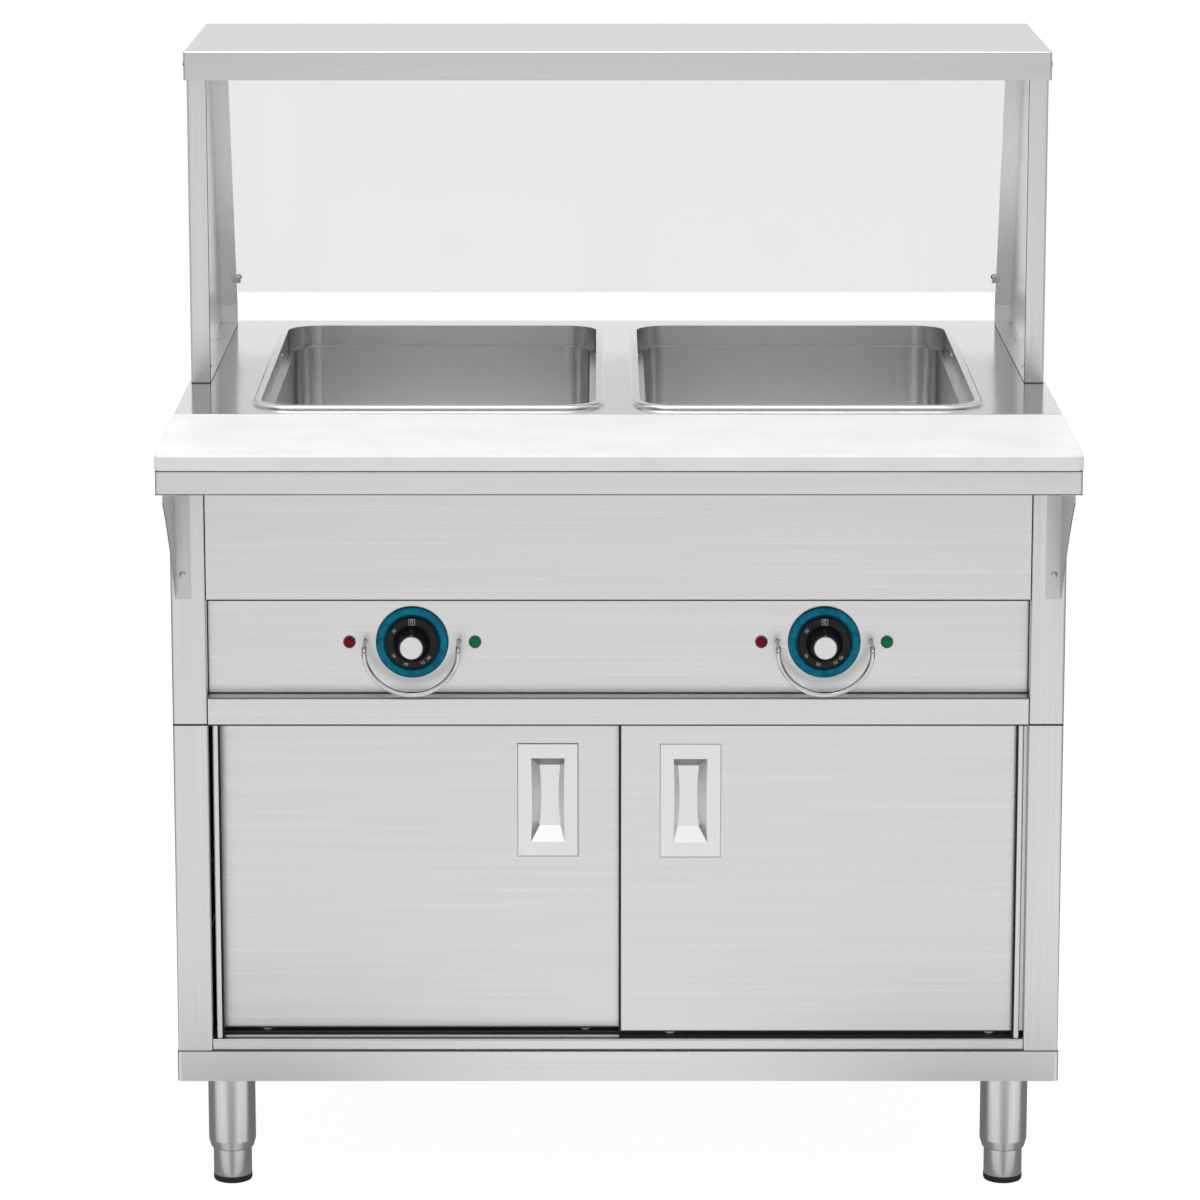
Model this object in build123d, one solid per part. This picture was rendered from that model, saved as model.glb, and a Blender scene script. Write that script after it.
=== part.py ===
from build123d import *
import os
from math import atan2, degrees

# Electric steam table with two wells, a cutting board, an overshelf with a glass guard, and a
# cabinet with sliding doors. Millimetres. +X is the user's right, the user stands at -Y, +Z is up.
# The origin lies on the floor, under the middle of the whole object.

# Sheet metal
sheet = 1.2
bend = 2.4
seam = 0.5
hem = 12.0

# Counter and cutting board
counter_width = 900.0
counter_height = 790.0
skirt_height = 39.0
board_depth = 238.0
board_thickness = 15.0
board_corner = 8.0
board_edge = 1.5
tray_inset = 1.0

# Body below the counter
body_inset = 3.0
board_overhang = 133.0
rear_overhang = 12.0
post_width = 35.0
post_return = 10.7
back_inset = 6.0

# Heights of the layers, from the floor up
leg_height = 120.0
base_height = 32.0
cabinet_height = 339.0
section_joint = 2.0
base_proud = 1.0
base_corner = 4.0
base_flange = 22.0
floor_height = 12.0
head_height = 29.0
head_return = 12.0
control_height = 99.0
control_recess = 20.0
control_top_return = 14.0
control_margin = 25.0

# Wells
well_width = 343.0
well_length = 535.0
well_gap = 45.0
well_front_margin = 35.0
well_back_margin = 66.0
well_corner = 35.0
well_step = 7.0
well_step_depth = 19.0
well_depth = 200.0
well_floor_radius = 14.0
rim_width = 9.0
rim_height = 4.0
cutout_clearance = 1.0

# Heating below each well
element_radius = 4.2
element_width = 220.0
element_length = 440.0
element_bend = 40.0
element_lead = 70.0
heat_tray_margin = 40.0
heat_tray_depth = 34.0
deck_opening_gap = 2.0

# Drains
drain_hole_radius = 15.0
drain_flange_radius = 23.0
drain_pipe_radius = 10.5
drain_hole_clearance = 5.0
valve_radius = 17.0
valve_height = 36.0
valve_drop = 24.0
spigot_length = 24.0
hose_hole_radius = 25.0
drain_bore_radius = 7.5
lever_length = 78.0
lever_width = 14.0
lever_thickness = 2.5
stem_radius = 3.5
stem_length = 7.0
boss_radius = 7.0
drain_nut = 5.0
stem_end_gap = 1.0
running_clearance = 0.05

# Controls
knob_spacing = 413.6
knob_height = 53.0
dial_plate_radius = 36.5
dial_plate_inner = 28.0
dial_plate_height = 5.0
dial_radius = 26.6
dial_face = 9.0
dial_gap = 0.6
hub_radius = 17.5
hub_tip_radius = 13.0
hub_height = 29.0
cap_radius = 11.5
cap_thickness = 2.4
spindle_radius = 3.0
spindle_depth = 24.0
spindle_hole_radius = 5.0
lamp_offset = 63.0
lamp_rim_radius = 6.3
lamp_lens_radius = 5.2
lamp_body_radius = 4.0
lamp_body_length = 20.0
lamp_rim_height = 1.6
guard_radius = 2.5
guard_span = 94.0
guard_reach = 34.0
guard_bend = 5.0
guard_drop = 42.0
guard_corner = 30.0
thermostat_width = 46.0
thermostat_height = 40.0
thermostat_depth = 26.0

# Sliding doors
door_setback = 13.0
door_thickness = 11.0
door_gap = 2.6
door_meeting = 2.0
door_lap = 16.0
door_side_gap = 3.0
door_travel_margin = 1.0
door_floor_gap = 3.6
door_head_gap = 3.0
door_wall = 1.0
door_hem = 9.0
track_clearance = 0.7
track_rise = 14.0
jamb_width = 6.5
jamb_depth = 7.0
jamb_gap = 4.0
rail_width = 1.6
rail_height = 1.8
roller_radius = 8.0
roller_width = 5.0
roller_groove = 1.8
roller_groove_width = 2.6
roller_inset = 51.0
axle_radius = 2.0
roller_lift = 0.3
ear_thickness = 1.0
ear_length = 16.0
roller_side_gap = 0.4

# Door pulls
pull_width = 62.0
pull_height = 118.0
pull_proud = 1.4
pull_bevel = 1.0
pull_from_middle = 72.0
pull_drop = 94.0
right_pull_rise = 2.5
cup_width = 34.0
cup_height = 87.0
cup_depth = 8.6
cup_wall = 0.8
cup_floor_width = 21.0
cup_floor_height = 63.0
cup_steep_side = 4.5
cup_top_slope = 9.0
cup_bow = 1.6

# Feet
leg_inset = 50.0
leg_radius = 24.2
leg_wall = 1.5
leg_collar_radius = 20.9
leg_collar_height = 35.5
leg_collar_lip = 1.0
leg_taper_height = 9.5
leg_collar_length = 24.0
leg_plate = 96.0
leg_plate_thickness = 2.5
foot_radius = 19.6
foot_pad_radius = 19.9
foot_pad_height = 7.0
foot_insertion = 55.0
foot_pad_edge = 2.5

# Overshelf
shelf_above_counter = 348.0
shelf_depth = 312.0
shelf_skirt = 30.0
shelf_from_rear = 131.0
side_inset = 3.0
side_front_gap = 2.0
side_flange = 19.0
side_rear_margin = 28.8
side_rear_rise = 22.0
side_rear_slope = 0.352
glass_thickness = 5.0
glass_lift = 37.0
glass_edge = 10.0
glass_top_gap = 3.0
clip_positions = (17.0, 277.0)
clip_width = 8.0
clip_reach = 4.6
clip_lap = 4.5
clip_jaw = 1.5
clip_screw_radius = 1.8
clip_nut_radius = 3.6
clip_nut_height = 2.5

# Board brackets
bracket_inset = 4.5
bracket_flange = 16.0
bracket_drop = 130.0
bracket_nose = 8.0
bracket_reach = 130.0
bracket_sag = 6.5
screw_hole_radius = 2.2
bracket_screw_height = 26.0

# Rear services
gland_from_side = 147.0
gland_height = 35.0
gland_bore_radius = 5.0
gland_radius = 9.0
gland_nut_radius = 12.5
gland_nut = 4.0
gland_length = 12.0
vent_count = 7
vent_pitch = 18.0
vent_length = 110.0
vent_width = 4.0
vent_from_top = 106.0
terminal_count = 4
terminal_pitch = 14.0
terminal_depth = 22.0
terminal_height = 18.0
terminal_base = 6.0
terminal_notch = 7.0
terminal_wall = 4.0
terminal_from_gland = 60.0

# Places that follow from the sizes above
well_spacing = well_width + well_gap
counter_depth = well_front_margin + well_length + well_back_margin
rear_y = (counter_depth + board_depth) / 2
counter_front = rear_y - counter_depth
board_front = counter_front - board_depth
body_front = board_front + board_overhang
body_rear = rear_y - rear_overhang
body_side = counter_width / 2 - body_inset
post_inner = body_side - post_width
door_width = door_meeting + door_lap + post_inner - door_side_gap
base_top = leg_height + base_height
floor_top = base_top + floor_height
cabinet_top = base_top + cabinet_height
upper_bottom = cabinet_top + section_joint
body_top = counter_height - skirt_height
rail_top = cabinet_top + head_height
control_face = body_front + control_recess
control_top = rail_top + control_height
board_bottom = counter_height - board_thickness
shelf_top = counter_height + shelf_above_counter
shelf_rear = rear_y - shelf_from_rear
shelf_front = shelf_rear - shelf_depth
back_face = body_rear - back_inset
knob_z = rail_top + knob_height
well_centre_y = rear_y - well_back_margin - well_length / 2
well_floor = counter_height - well_depth
front_door_face = body_front + door_setback
rear_door_face = front_door_face + door_thickness + door_gap
door_bottom = floor_top + door_floor_gap
track_web = cabinet_top + track_rise
door_top = track_web - door_head_gap
door_height = door_top - door_bottom
rail_crest = floor_top + sheet + rail_height
roller_z = rail_crest + roller_lift + roller_radius - roller_groove
side_x = counter_width / 2 - side_inset
side_rear_base = rear_y - side_rear_margin
inside_width = post_inner - seam
gland_x = body_side - gland_from_side


def block(x0, x1, y0, y1, z0, z1):
    """Rectangular solid between two corners."""
    return Pos((x0 + x1) / 2, (y0 + y1) / 2, (z0 + z1) / 2) * Box(x1 - x0, y1 - y0, z1 - z0)


def cylinder_between(plane, radius, low, high):
    """Round bar along the plane's normal, from low to high."""
    return extrude(plane.offset(low) * Circle(radius), amount=high - low)


def turned(points, place):
    """Solid turned from a half profile of (radius, height) points about the place's Z axis."""
    return place * revolve(Plane.XZ * make_face(Polyline(*points, close=True)), Axis.Z)


def folded(points, plane, length, wall=sheet, side=Side.LEFT):
    """One sheet folded through the corners of its outer skin and drawn out along the plane's normal."""
    skin = FilletPolyline(*points, radius=bend)
    return extrude(plane * make_face(offset(skin, amount=wall, side=side)), amount=length)


def hood(x0, x1, y0, y1, z0, z1, wall, lip, corner):
    """Sheet pan that opens downward, with a lip turned in along its lower edge."""
    outer = block(x0, x1, y0, y1, z0, z1)
    outer = fillet(outer.edges().filter_by(Axis.Z), corner)
    outer = fillet(outer.faces().sort_by(Axis.Z)[-1].edges(), bend)
    hollow = block(x0 + wall, x1 - wall, y0 + wall, y1 - wall, z0 + wall, z1 - wall)
    mouth = block(x0 + lip, x1 - lip, y0 + lip, y1 - lip, z0 - wall, z0 + 2 * wall)
    return outer - hollow - mouth


def rounded_prism(x, y, width, length, corner, z0, z1):
    """Upright prism with a rounded rectangle as its plan."""
    plan = Pos(x, y) * RectangleRounded(width, length, corner)
    return extrude(Plane.XY.offset(z0) * plan, amount=z1 - z0)


def bent_bar(start, ahead, radius, steps):
    """Round bar from a point; each step is a straight length and a bend's radius, angle and side."""
    place, ahead, side = Vector(start), Vector(ahead), None
    pieces = []
    for length, bend_radius, angle, new_side in steps:
        if length:
            pieces.append(extrude(Plane(origin=place, z_dir=ahead) * Circle(radius), amount=length))
            place += ahead * length
        if angle:
            side = side if new_side is None else Vector(new_side)
            axis = Axis(place + side * bend_radius, ahead.cross(side))
            around = Axis((0, 0, 0), ahead.cross(side))
            pieces.append(revolve(Plane(origin=place, z_dir=ahead) * Circle(radius), axis, angle))
            place = axis.position + (place - axis.position).rotate(around, angle)
            ahead, side = ahead.rotate(around, angle), side.rotate(around, angle)
    return pieces[0].fuse(*pieces[1:])


def facing(x, y, z):
    """Plane at a point, looking at the user: X to the right, Y up."""
    return Plane(origin=(x, y, z), x_dir=(1, 0, 0), z_dir=(0, -1, 0))


def both_sides(solid):
    """A solid and its mirror image across the middle plane."""
    return Compound(children=[solid, mirror(solid, Plane.YZ)])


def save(name, shape):
    """Write one sub-part."""
    export_step(shape, f"parts/{name}.step")


# Counter, board and wells


def counter_top():
    """Worktop pan with a skirt all round and a rounded cut-out for each well."""
    half = counter_width / 2
    top = hood(-half, half, counter_front, rear_y, body_top, counter_height, sheet, hem, bend)
    for side in (-1, 1):
        top -= rounded_prism(
            side * well_spacing / 2,
            well_centre_y,
            well_width + 2 * (sheet + cutout_clearance),
            well_length + 2 * (sheet + cutout_clearance),
            well_corner + sheet + cutout_clearance,
            counter_height - 2 * sheet,
            counter_height + sheet,
        )
    return top


def board_tray():
    """Lowered pan in front of the counter that carries the cutting board."""
    half = counter_width / 2 - tray_inset
    front = board_front + tray_inset
    return hood(-half, half, front, counter_front, body_top, board_bottom, sheet, hem, bend)


def cutting_board():
    """Solid white board with rounded upright corners and softened edges."""
    half = counter_width / 2
    slab = block(-half, half, board_front, counter_front, board_bottom, counter_height)
    slab = fillet(slab.edges().filter_by(Axis.Z).group_by(Axis.Y)[0], board_corner)
    return chamfer(slab.faces().sort_by(Axis.Z)[-1].edges(), board_edge)


def board_brackets():
    """Folded brackets: a flange on each post, a curved wing under the tray and a lip on top."""
    outer = body_side - bracket_inset
    bottom = body_top - bracket_drop
    nose_y = body_front - bracket_reach
    low = Vector(body_front, bottom)
    high = Vector(nose_y, body_top - bracket_nose)
    middle = (low + high) / 2
    along = (high - low).normalized()
    bowed = middle + Vector(-along.Y, along.X) * -bracket_sag
    outline = Curve() + [
        ThreePointArc(low, bowed, high),
        Polyline(high, (nose_y, body_top), (body_front, body_top), low),
    ]
    wing = extrude(Plane.YZ.offset(outer - sheet) * make_face(outline), amount=sheet)
    flange = block(outer - bracket_flange, outer, body_front - sheet, body_front, bottom, body_top)
    lip = block(outer - bracket_flange, outer, nose_y, body_front, body_top - sheet, body_top)
    screw = facing(outer - bracket_flange / 2, body_front, bottom + bracket_screw_height)
    bracket = wing + flange + lip - cylinder_between(screw, screw_hole_radius, -sheet, 2 * sheet)
    return both_sides(bracket)


def well(side):
    """Deep-drawn well: a raised rolled rim, a ledge for the pan, and a deep floor with a drain hole."""
    x = side * well_spacing / 2
    y = well_centre_y
    ledge = counter_height - well_step_depth
    inner = (well_width - 2 * well_step, well_length - 2 * well_step, well_corner - well_step)
    rim_top = counter_height + rim_height
    rim = rounded_prism(
        x, y, well_width + 2 * rim_width, well_length + 2 * rim_width, well_corner + rim_width,
        counter_height, rim_top,
    )
    rim = fillet(rim.faces().sort_by(Axis.Z)[-1].edges(), rim_height * 0.8)
    upper = rounded_prism(
        x, y, well_width + 2 * sheet, well_length + 2 * sheet, well_corner + sheet,
        ledge - sheet, counter_height,
    )
    lower = rounded_prism(
        x, y, inner[0] + 2 * sheet, inner[1] + 2 * sheet, inner[2] + sheet,
        well_floor - sheet, ledge,
    )
    lower = fillet(lower.faces().sort_by(Axis.Z)[0].edges(), well_floor_radius + sheet)
    basin = rounded_prism(x, y, *inner, well_floor, ledge + sheet)
    basin = fillet(basin.faces().sort_by(Axis.Z)[0].edges(), well_floor_radius)
    mouth = rounded_prism(x, y, well_width, well_length, well_corner, ledge, rim_top + sheet)
    drain = cylinder_between(
        Plane((x, y, well_floor)), drain_hole_radius + cutout_clearance, -2 * sheet, sheet
    )
    return rim + upper + lower - basin - mouth - drain


# Heating and drains


def heating_elements():
    """Tubular heater under each well, bent to a long U, with both ends brought out at the front."""
    z = well_floor - sheet - element_radius
    end = well_centre_y - element_length / 2 - element_lead
    straight = element_length + element_lead - element_bend
    across = element_width - 2 * element_bend
    steps = (
        (straight, element_bend, 90, (1, 0, 0)), (across, element_bend, 90, None),
        (straight, 0, 0, None),
    )
    return Compound(children=[
        bent_bar((side * well_spacing / 2 - element_width / 2, end, z), (0, 1, 0), element_radius, steps)
        for side in (-1, 1)
    ])


def heat_trays():
    """Open pans that hold the heater and its insulation against each well's floor."""
    top = well_floor - sheet
    bottom = top - heat_tray_depth
    half = element_width / 2 + heat_tray_margin
    near = well_centre_y - element_length / 2 - heat_tray_margin
    far = well_centre_y + element_length / 2 + heat_tray_margin
    slot = element_radius + cutout_clearance
    trays = []
    for side in (-1, 1):
        x = side * well_spacing / 2
        tray = block(x - half, x + half, near, far, bottom, top)
        tray -= block(x - half + sheet, x + half - sheet, near + sheet, far - sheet, bottom + sheet, top)
        for end in (x - element_width / 2, x + element_width / 2):
            tray -= block(
                end - slot, end + slot, near - sheet, near + 2 * sheet,
                top - 2 * element_radius - cutout_clearance, top,
            )
        pipe = Plane((x, well_centre_y, bottom))
        tray -= cylinder_between(pipe, drain_hole_radius + drain_hole_clearance, -sheet, 2 * sheet)
        trays.append(tray)
    return Compound(children=trays)


def valve_centre_z():
    """Height of the drain valve's lever axis, under the deck."""
    return cabinet_top - valve_drop - valve_height / 2


def drain_valves():
    """Drain fittings: a flange on the well's floor, a pipe, a ball valve's body and a hose spigot."""
    valve_z = valve_centre_z()
    top_z = valve_z + valve_height / 2
    low_z = valve_z - valve_height / 2
    nut_z = well_floor - sheet
    profile = (
        (drain_bore_radius, well_floor + sheet), (drain_flange_radius, well_floor + sheet),
        (drain_flange_radius, well_floor), (drain_hole_radius, well_floor),
        (drain_hole_radius, nut_z - drain_nut), (drain_pipe_radius, nut_z - drain_nut),
        (drain_pipe_radius, top_z), (valve_radius, top_z),
        (valve_radius, low_z), (drain_pipe_radius, low_z),
        (drain_pipe_radius, low_z - spigot_length), (drain_bore_radius, low_z - spigot_length),
    )
    valves = []
    for side in (-1, 1):
        x = side * well_spacing / 2
        body = turned(profile, Pos(x, well_centre_y, 0))
        boss = facing(x, well_centre_y, valve_z)
        body += cylinder_between(boss, boss_radius, drain_bore_radius + sheet, valve_radius)
        body -= cylinder_between(
            boss, stem_radius + running_clearance, valve_radius - stem_length, valve_radius + sheet
        )
        valves.append(body)
    return Compound(children=valves)


def drain_lever(side):
    """Lever and stem of one drain valve, drawn closed, with the handle level."""
    x = side * well_spacing / 2
    axis = facing(x, well_centre_y, valve_centre_z())
    front = valve_radius + cutout_clearance
    root = valve_radius - stem_length + stem_end_gap
    stem = cylinder_between(axis, stem_radius, root, front + lever_thickness)
    grip = SlotCenterToCenter(lever_length - lever_width, lever_width)
    blade = extrude(
        axis.offset(front) * Pos((lever_length - lever_width) / 2, 0) * grip, amount=lever_thickness
    )
    tip = extrude(
        axis.offset(front) * Pos(lever_length * 0.66, 0)
        * SlotCenterToCenter(lever_length / 3, lever_width),
        amount=2 * lever_thickness,
    )
    nut = extrude(
        axis.offset(front + lever_thickness) * RegularPolygon(stem_radius + sheet, 6),
        amount=stem_radius,
    )
    return stem + blade + tip + nut


# Upper section


def side_panel(z0, z1):
    """Folded side: a front post with its return, the side skin and a rear return."""
    points = (
        (post_inner, body_front + post_return),
        (post_inner, body_front),
        (body_side, body_front),
        (body_side, body_rear),
        (post_inner, body_rear),
    )
    return folded(points, Plane.XY.offset(z0), z1 - z0)


def upper_back_panel():
    """Rear panel with ventilation slots and the cable hole, inside the side panels' returns."""
    half = body_side - 2 * sheet
    panel = block(-half, half, back_face, body_rear - sheet, upper_bottom, body_top)
    hollow = block(-half, half, back_face, body_rear - 2 * sheet, upper_bottom + hem, body_top - hem)
    panel -= hollow
    slots = [
        Pos(group * well_spacing / 2, (row - (vent_count - 1) / 2) * vent_pitch)
        * Rectangle(vent_length, vent_width)
        for group in (-1, 1)
        for row in range(vent_count)
    ]
    rear = facing(0, back_face, body_top - vent_from_top)
    panel -= extrude(rear * (Sketch() + slots), amount=back_inset, both=True)
    hole = facing(gland_x, back_face, upper_bottom + gland_height)
    panel -= cylinder_between(hole, gland_radius + cutout_clearance / 4, -back_inset, sheet)
    return panel


def upper_front_panel():
    """Plain front panel above the controls, folded back at the top and the bottom."""
    points = (
        (control_face - sheet, body_top),
        (body_front, body_top),
        (body_front, control_top),
        (control_face, control_top),
    )
    return folded(points, Plane.YZ.offset(-inside_width), 2 * inside_width)


def control_panel():
    """Recessed control panel with holes for the spindles, lamps and knob guards."""
    back = control_face + control_top_return
    points = (
        (back, control_top + control_margin),
        (control_face, control_top + control_margin),
        (control_face, rail_top),
        (back, rail_top),
    )
    panel = folded(points, Plane.YZ.offset(-inside_width), 2 * inside_width)
    holes = (
        (0, spindle_hole_radius),
        (-lamp_offset, lamp_body_radius + cutout_clearance / 4),
        (lamp_offset, lamp_body_radius + cutout_clearance / 4),
        (-guard_span / 2, guard_radius + cutout_clearance / 4),
        (guard_span / 2, guard_radius + cutout_clearance / 4),
    )
    for side in (-1, 1):
        for offset_x, radius in holes:
            x = side * knob_spacing / 2 + offset_x
            panel -= cylinder_between(facing(x, control_face, knob_z), radius, -2 * sheet, sheet)
    return panel


def door_head_rail():
    """Rail over the doors: its top is the ledge under the control panel."""
    points = (
        (control_face + control_top_return, rail_top),
        (body_front, rail_top),
        (body_front, cabinet_top),
        (body_front + head_return, cabinet_top),
    )
    return folded(points, Plane.YZ.offset(-inside_width), 2 * inside_width)


def deck():
    """Sheet between the two sections, open below each well; its edge shows as the dark joint."""
    half = body_side - bend
    plate = block(-half, half, body_front + bend, back_face, cabinet_top, upper_bottom)
    reach = track_half_length() + seam
    plate -= block(-reach, reach, body_front, track_rear() + sheet, cabinet_top - sheet, upper_bottom + sheet)
    grow = 2 * (sheet + deck_opening_gap)
    for side in (-1, 1):
        plate -= rounded_prism(
            side * well_spacing / 2, well_centre_y, well_width + grow, well_length + grow,
            well_corner + grow / 2, cabinet_top - sheet, upper_bottom + sheet,
        )
    return plate


def dial_plates():
    """Turned dial plate round each knob, with a raised coloured ring."""
    profile = (
        (spindle_hole_radius, 0), (dial_plate_radius, 0),
        (dial_plate_radius, dial_plate_height * 0.4),
        (dial_plate_radius - 1.2, dial_plate_height * 0.75),
        (dial_plate_radius - 3.4, dial_plate_height),
        (dial_plate_inner + 0.8, dial_plate_height * 0.9),
        (dial_plate_inner, dial_plate_height * 0.7),
        (dial_plate_inner, sheet), (spindle_hole_radius, sheet),
    )
    return both_sides(turned(profile, knob_place(1)))


def knob_place(side):
    """Place on the control panel at a knob's axis, with its Z towards the user."""
    return Pos(side * knob_spacing / 2, control_face, knob_z) * Rot(90, 0, 0)


def knob_dial(side):
    """Black dial: a skirt that carries the numbers and a tapered hub."""
    low = sheet + dial_gap
    bore = spindle_radius + running_clearance
    profile = (
        (bore, low), (dial_radius, low), (dial_radius, dial_face - 1.5),
        (dial_radius - 1.5, dial_face), (hub_radius + 1.0, dial_face),
        (hub_radius, dial_face - 0.8), (hub_radius - 1.2, dial_face + 1.0),
        (hub_tip_radius, hub_height), (bore, hub_height),
    )
    return turned(profile, knob_place(side))


def knob_core(side):
    """Metal core of a knob: the cap on the front and the spindle behind it."""
    top = hub_height + cap_thickness
    profile = (
        (0, -spindle_depth), (spindle_radius, -spindle_depth), (spindle_radius, hub_height),
        (cap_radius, hub_height), (cap_radius, top - 0.6), (cap_radius - 0.6, top), (0, top),
    )
    return turned(profile, knob_place(side))


def thermostats():
    """Thermostat behind each knob, bored for the knob's spindle."""
    back = control_face + sheet
    bodies = []
    for side in (-1, 1):
        x = side * knob_spacing / 2
        half_w = thermostat_width / 2
        half_h = thermostat_height / 2
        body = block(x - half_w, x + half_w, back, back + thermostat_depth, knob_z - half_h, knob_z + half_h)
        body = chamfer(body.faces().sort_by(Axis.Y)[-1].edges(), 3)
        for terminal in (-1, 0, 1):
            tx = x + terminal * thermostat_width / 3
            body += block(tx - 3, tx + 3, back + thermostat_depth - 1, back + thermostat_depth + 9,
                          knob_z - 0.4, knob_z + 0.4)
        bore = facing(x, back, knob_z)
        body -= cylinder_between(bore, spindle_radius + running_clearance, -spindle_depth, sheet)
        bodies.append(body)
    return Compound(children=bodies)


def lamp_places():
    """Places of the red lamps on the left and of the green lamps on the right of the knobs."""
    def row(offset_x):
        return [
            Pos(side * knob_spacing / 2 + offset_x, control_face, knob_z) * Rot(90, 0, 0)
            for side in (-1, 1)
        ]
    return row(-lamp_offset), row(lamp_offset)


def lamp_bodies():
    """Indicator lamp bodies: a pale rim on the panel and a barrel behind it."""
    red, green = lamp_places()
    pocket = lamp_rim_height * 0.25
    profile = (
        (0, -lamp_body_length), (lamp_body_radius, -lamp_body_length), (lamp_body_radius, 0),
        (lamp_rim_radius, 0), (lamp_rim_radius, lamp_rim_height),
        (lamp_lens_radius, lamp_rim_height), (lamp_lens_radius, pocket), (0, pocket),
    )
    return Compound(children=[turned(profile, place) for place in red + green])


def lamp_lenses(places):
    """Domed coloured lenses in the lamp rims."""
    low = lamp_rim_height * 0.25
    high = lamp_rim_height + 1.2
    profile = (
        (0, low), (lamp_lens_radius, low), (lamp_lens_radius, lamp_rim_height),
        (lamp_lens_radius * 0.8, high - 0.4), (lamp_lens_radius * 0.4, high), (0, high),
    )
    return Compound(children=[turned(profile, place) for place in places])


def knob_guards():
    """Bent wire in front of each knob: two arms out of the panel and a hanging loop of three arcs."""
    half = guard_span / 2
    inset = half - guard_corner
    belly = (inset**2 + guard_drop**2 - guard_corner**2) / (2 * (guard_drop - guard_corner))
    turn = degrees(atan2(belly - guard_drop, inset))
    root = 2 * sheet
    arm = root + guard_reach - guard_bend
    steps = (
        (arm, guard_bend, 90, (0, 0, -1)), (0, guard_corner, turn, (1, 0, 0)),
        (0, belly, 180 - 2 * turn, None), (0, guard_corner, turn, None),
        (0, guard_bend, 90, (0, 1, 0)), (arm, 0, 0, None),
    )
    start = (knob_spacing / 2 - half, control_face + root, knob_z)
    return both_sides(bent_bar(start, (0, -1, 0), guard_radius, steps))


def terminal_block():
    """Supply terminals on the deck, against the rear panel beside the cable entry."""
    x0 = gland_x - terminal_from_gland
    y1 = back_face
    y0 = y1 - terminal_depth
    low = upper_bottom + terminal_base
    top = upper_bottom + terminal_height
    body = block(x0, x0 + terminal_count * terminal_pitch, y0, y1, upper_bottom, top)
    for index in range(terminal_count):
        left = x0 + index * terminal_pitch + terminal_wall / 2
        right = left + terminal_pitch - terminal_wall
        body -= block(left, right, y0, y0 + terminal_notch, low, top)
        body -= block(left, right, y1 - terminal_notch, y1, low, top)
    return body


def cable_gland():
    """Cable gland through the rear panel: two nuts and a bored barrel."""
    outside = body_rear - sheet
    place = facing(gland_x, outside, upper_bottom + gland_height)
    gland = cylinder_between(place, gland_radius, -gland_length, sheet + 2 * gland_nut)
    for low in (sheet, -gland_nut):
        gland += extrude(place.offset(low) * RegularPolygon(gland_nut_radius, 6), amount=gland_nut)
    return gland - cylinder_between(place, gland_bore_radius, -2 * gland_length, 2 * gland_length)


# Cabinet


def track_front():
    """Front face of the door track's front lip."""
    return front_door_face - track_clearance - sheet


def track_rear():
    """Rear side of the space that the doors slide in."""
    return rear_door_face + door_thickness + track_clearance


def track_half_length():
    """Half length of the tracks, past the right door's edge behind the post."""
    return door_meeting + door_width + door_travel_margin


def door_top_track():
    """Double channel over the doors, with a lip between them and a flange on the deck."""
    front = track_front()
    rear = track_rear() + sheet
    seat = upper_bottom + sheet
    half = track_half_length()
    points = (
        (front, cabinet_top + sheet), (front, track_web + sheet), (rear, track_web + sheet),
        (rear, seat), (rear + hem, seat),
    )
    track = folded(points, Plane.YZ.offset(-half), 2 * half, side=Side.RIGHT)
    middle = front_door_face + door_thickness + door_gap / 2
    lip = block(-half, half, middle - sheet / 2, middle + sheet / 2, cabinet_top + 2 * sheet, track_web)
    return track + lip


def cabinet_floor():
    """Bottom shelf of the cabinet, its front edge the sill under the doors, with two hose holes."""
    half = body_side - 2 * sheet
    front = body_front + sheet
    points = (
        (front + hem, base_top), (front, base_top), (front, floor_top),
        (back_face, floor_top), (back_face, base_top),
    )
    pan = folded(points, Plane.YZ.offset(-half), 2 * half, side=Side.RIGHT)
    for side in (-1, 1):
        hose = Plane((side * well_spacing / 2, well_centre_y, floor_top))
        pan -= cylinder_between(hose, hose_hole_radius, -2 * sheet, sheet)
        x = side * (inside_width + half + sheet) / 2
        width = half + sheet - inside_width
        pan -= block(x - width / 2, x + width / 2, body_front, body_front + post_return + seam,
                     base_top - sheet, floor_top + sheet)
    return pan


def cabinet_back():
    """Rear panel of the cabinet, inside the side panels' returns."""
    half = body_side - 2 * sheet
    panel = block(-half, half, back_face, body_rear - sheet, floor_top, cabinet_top)
    return panel - block(-half, half, back_face, body_rear - 2 * sheet, floor_top + hem, cabinet_top - hem)


def door_bottom_track():
    """Track plate on the cabinet's floor, with a rail for each door's rollers."""
    half = track_half_length()
    track = block(-half, half, track_front(), track_rear(), floor_top, floor_top + sheet)
    for face in (front_door_face, rear_door_face):
        middle = face + door_thickness / 2
        track += block(-half, half, middle - rail_width / 2, middle + rail_width / 2,
                       floor_top + sheet, rail_crest)
    return track


def door_jambs():
    """Narrow upright channels that close the gap between each post and the doors."""
    inner = post_inner - jamb_gap - jamb_width
    front = track_front() - jamb_depth
    points = (
        (inner, front + jamb_depth), (inner, front),
        (inner + jamb_width, front), (inner + jamb_width, front + jamb_depth),
    )
    jamb = folded(points, Plane.XY.offset(floor_top), cabinet_top - floor_top)
    return both_sides(jamb)


def roller_centres(side):
    """Middle of each of a door's two rollers; the left door runs in the rear track."""
    face = rear_door_face if side < 0 else front_door_face
    left, right = door_span(side)
    y = face + door_thickness / 2
    return [(left + roller_inset, y), (right - roller_inset, y)]


def door_span(side):
    """Left and right edge of a shut door; the right one laps the left one and the right post."""
    left = door_meeting if side > 0 else door_side_gap - post_inner
    return left, left + door_width


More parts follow.
